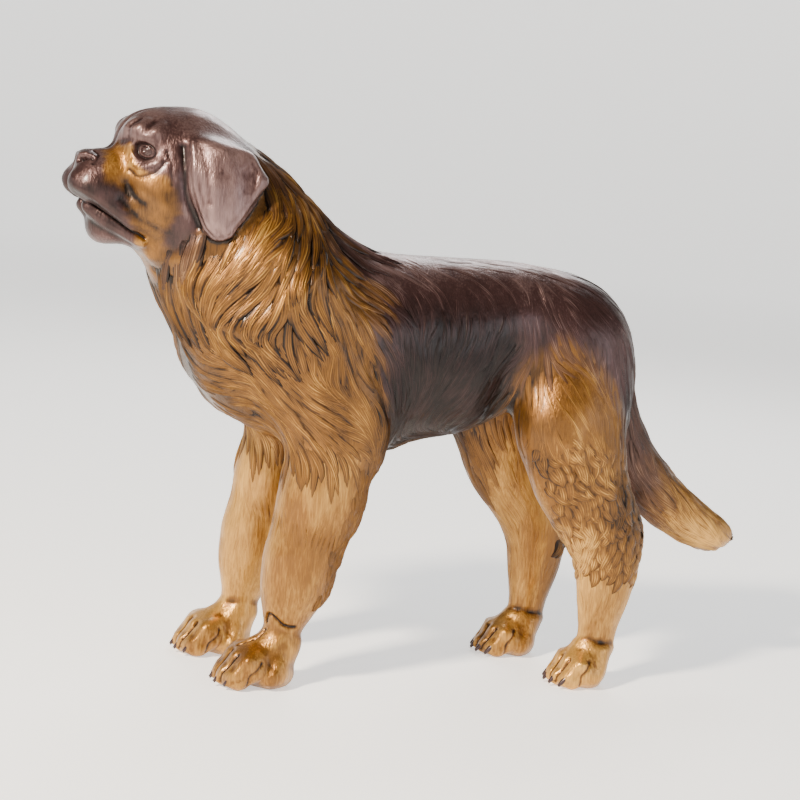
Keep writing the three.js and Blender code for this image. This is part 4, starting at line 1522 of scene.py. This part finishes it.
@dataclass
class Studio:
    """A pale floor, soft lights and the camera at the photograph's angle."""

    azimuth: float = -20.0
    elevation: float = 8.0
    roll: float = 5.5
    distance: float = 3.8
    target: tuple[float, float, float] = (-0.02798, 0.01936, 0.460)
    lens: float = 101.2
    sensor: float = 36

    def build(self) -> None:
        """Sets up the floor, the lights and the camera."""
        self._floor()
        self._world()
        self._light("key", (-3.2, -2.2, 3.3), 0.55, 520, "#FFF0DC")
        self._light("fill", (3.0, -3.8, 1.8), 2.0, 35, "#EAF1FF")
        self._light("rim", (1.6, 3.0, 3.2), 1.8, 90, "#FFFFFF")
        self._camera()

    def _floor(self) -> None:
        """A pale floor that curves up into a low wall all round, far beyond the camera."""
        work = bmesh.new()
        flat, bend, wall = 9.0, 3.0, 5.0
        profile = [(0.0, 0.0), (flat, 0.0)]
        for i in range(1, 13):
            turn = math.pi / 2 * i / 12
            profile.append((flat + bend * math.sin(turn), bend * (1 - math.cos(turn))))
        profile.append((flat + bend, wall))
        verts = [work.verts.new((x, 0, z)) for x, z in profile]
        edges = [work.edges.new(pair) for pair in zip(verts, verts[1:])]
        bmesh.ops.spin(
            work, geom=verts + edges, cent=(0, 0, 0), axis=(0, 0, 1), angle=2 * math.pi, steps=72,
            use_merge=True,
        )
        bmesh.ops.remove_doubles(work, verts=work.verts, dist=1e-4)
        mesh = bpy.data.meshes.new("floor")
        work.to_mesh(mesh)
        work.free()
        # matt white board, which glows a little so that it stays pale in the soft light
        paint = bpy.data.materials.new("matt_white_floor")
        paint.use_nodes = True
        finish = {
            "Base Color": linear("#FAFAF8"), "Roughness": 0.9,
            "Emission Color": linear("#FFFFFF"), "Emission Strength": 0.78,
        }
        for socket, value in finish.items():
            paint.node_tree.nodes["Principled BSDF"].inputs[socket].default_value = value
        mesh.materials.append(paint)
        floor = smooth_object(mesh)

    def _world(self) -> None:
        """An even pale surround."""
        world = bpy.data.worlds.new("surround")
        world.use_nodes = True
        world.node_tree.nodes["Background"].inputs["Color"].default_value = linear("#F4F5F7")
        world.node_tree.nodes["Background"].inputs["Strength"].default_value = 0.16
        bpy.context.scene.world = world

    def _light(
        self, name: str, place: tuple[float, float, float], size: float, power: float, colour: str
    ) -> None:
        """Adds one square soft light that faces the statue.

        Args:
            name: Its name.
            place: Where it hangs, in metres.
            size: The length of its side in metres.
            power: Its power in watts.
            colour: The colour of its light.
        """
        lamp = bpy.data.lights.new(name, "AREA")
        lamp.shape = "SQUARE"
        lamp.size = size
        lamp.energy = power
        lamp.color = linear(colour)[:3]
        thing = bpy.data.objects.new(name, lamp)
        thing.location = place
        thing.rotation_euler = (Vector((0, 0, 0.5)) - Vector(place)).to_track_quat("-Z", "Y").to_euler()
        bpy.context.scene.collection.objects.link(thing)

    def _camera(self) -> None:
        """The camera, rolled a little as the photographer held it."""
        az, el, roll = (math.radians(v) for v in (self.azimuth, self.elevation, self.roll))
        back = Vector((math.sin(az) * math.cos(el), -math.cos(az) * math.cos(el), math.sin(el)))
        right = Vector((math.cos(az), math.sin(az), 0))
        up = back.cross(right)
        across = right * math.cos(roll) + up * math.sin(roll)
        above = up * math.cos(roll) - right * math.sin(roll)
        lens = bpy.data.cameras.new("camera")
        lens.lens = self.lens
        lens.sensor_width = self.sensor
        camera = bpy.data.objects.new("camera", lens)
        turn = Matrix((across, above, back)).transposed().to_4x4()
        camera.matrix_world = Matrix.Translation(Vector(self.target) + back * self.distance) @ turn
        bpy.context.scene.collection.objects.link(camera)
        bpy.context.scene.camera = camera


def main() -> None:
    """Builds the statue and its studio."""
    Studio().build()
    log.info("studio set")
    Statue().build()


if __name__ == "__main__":
    main()
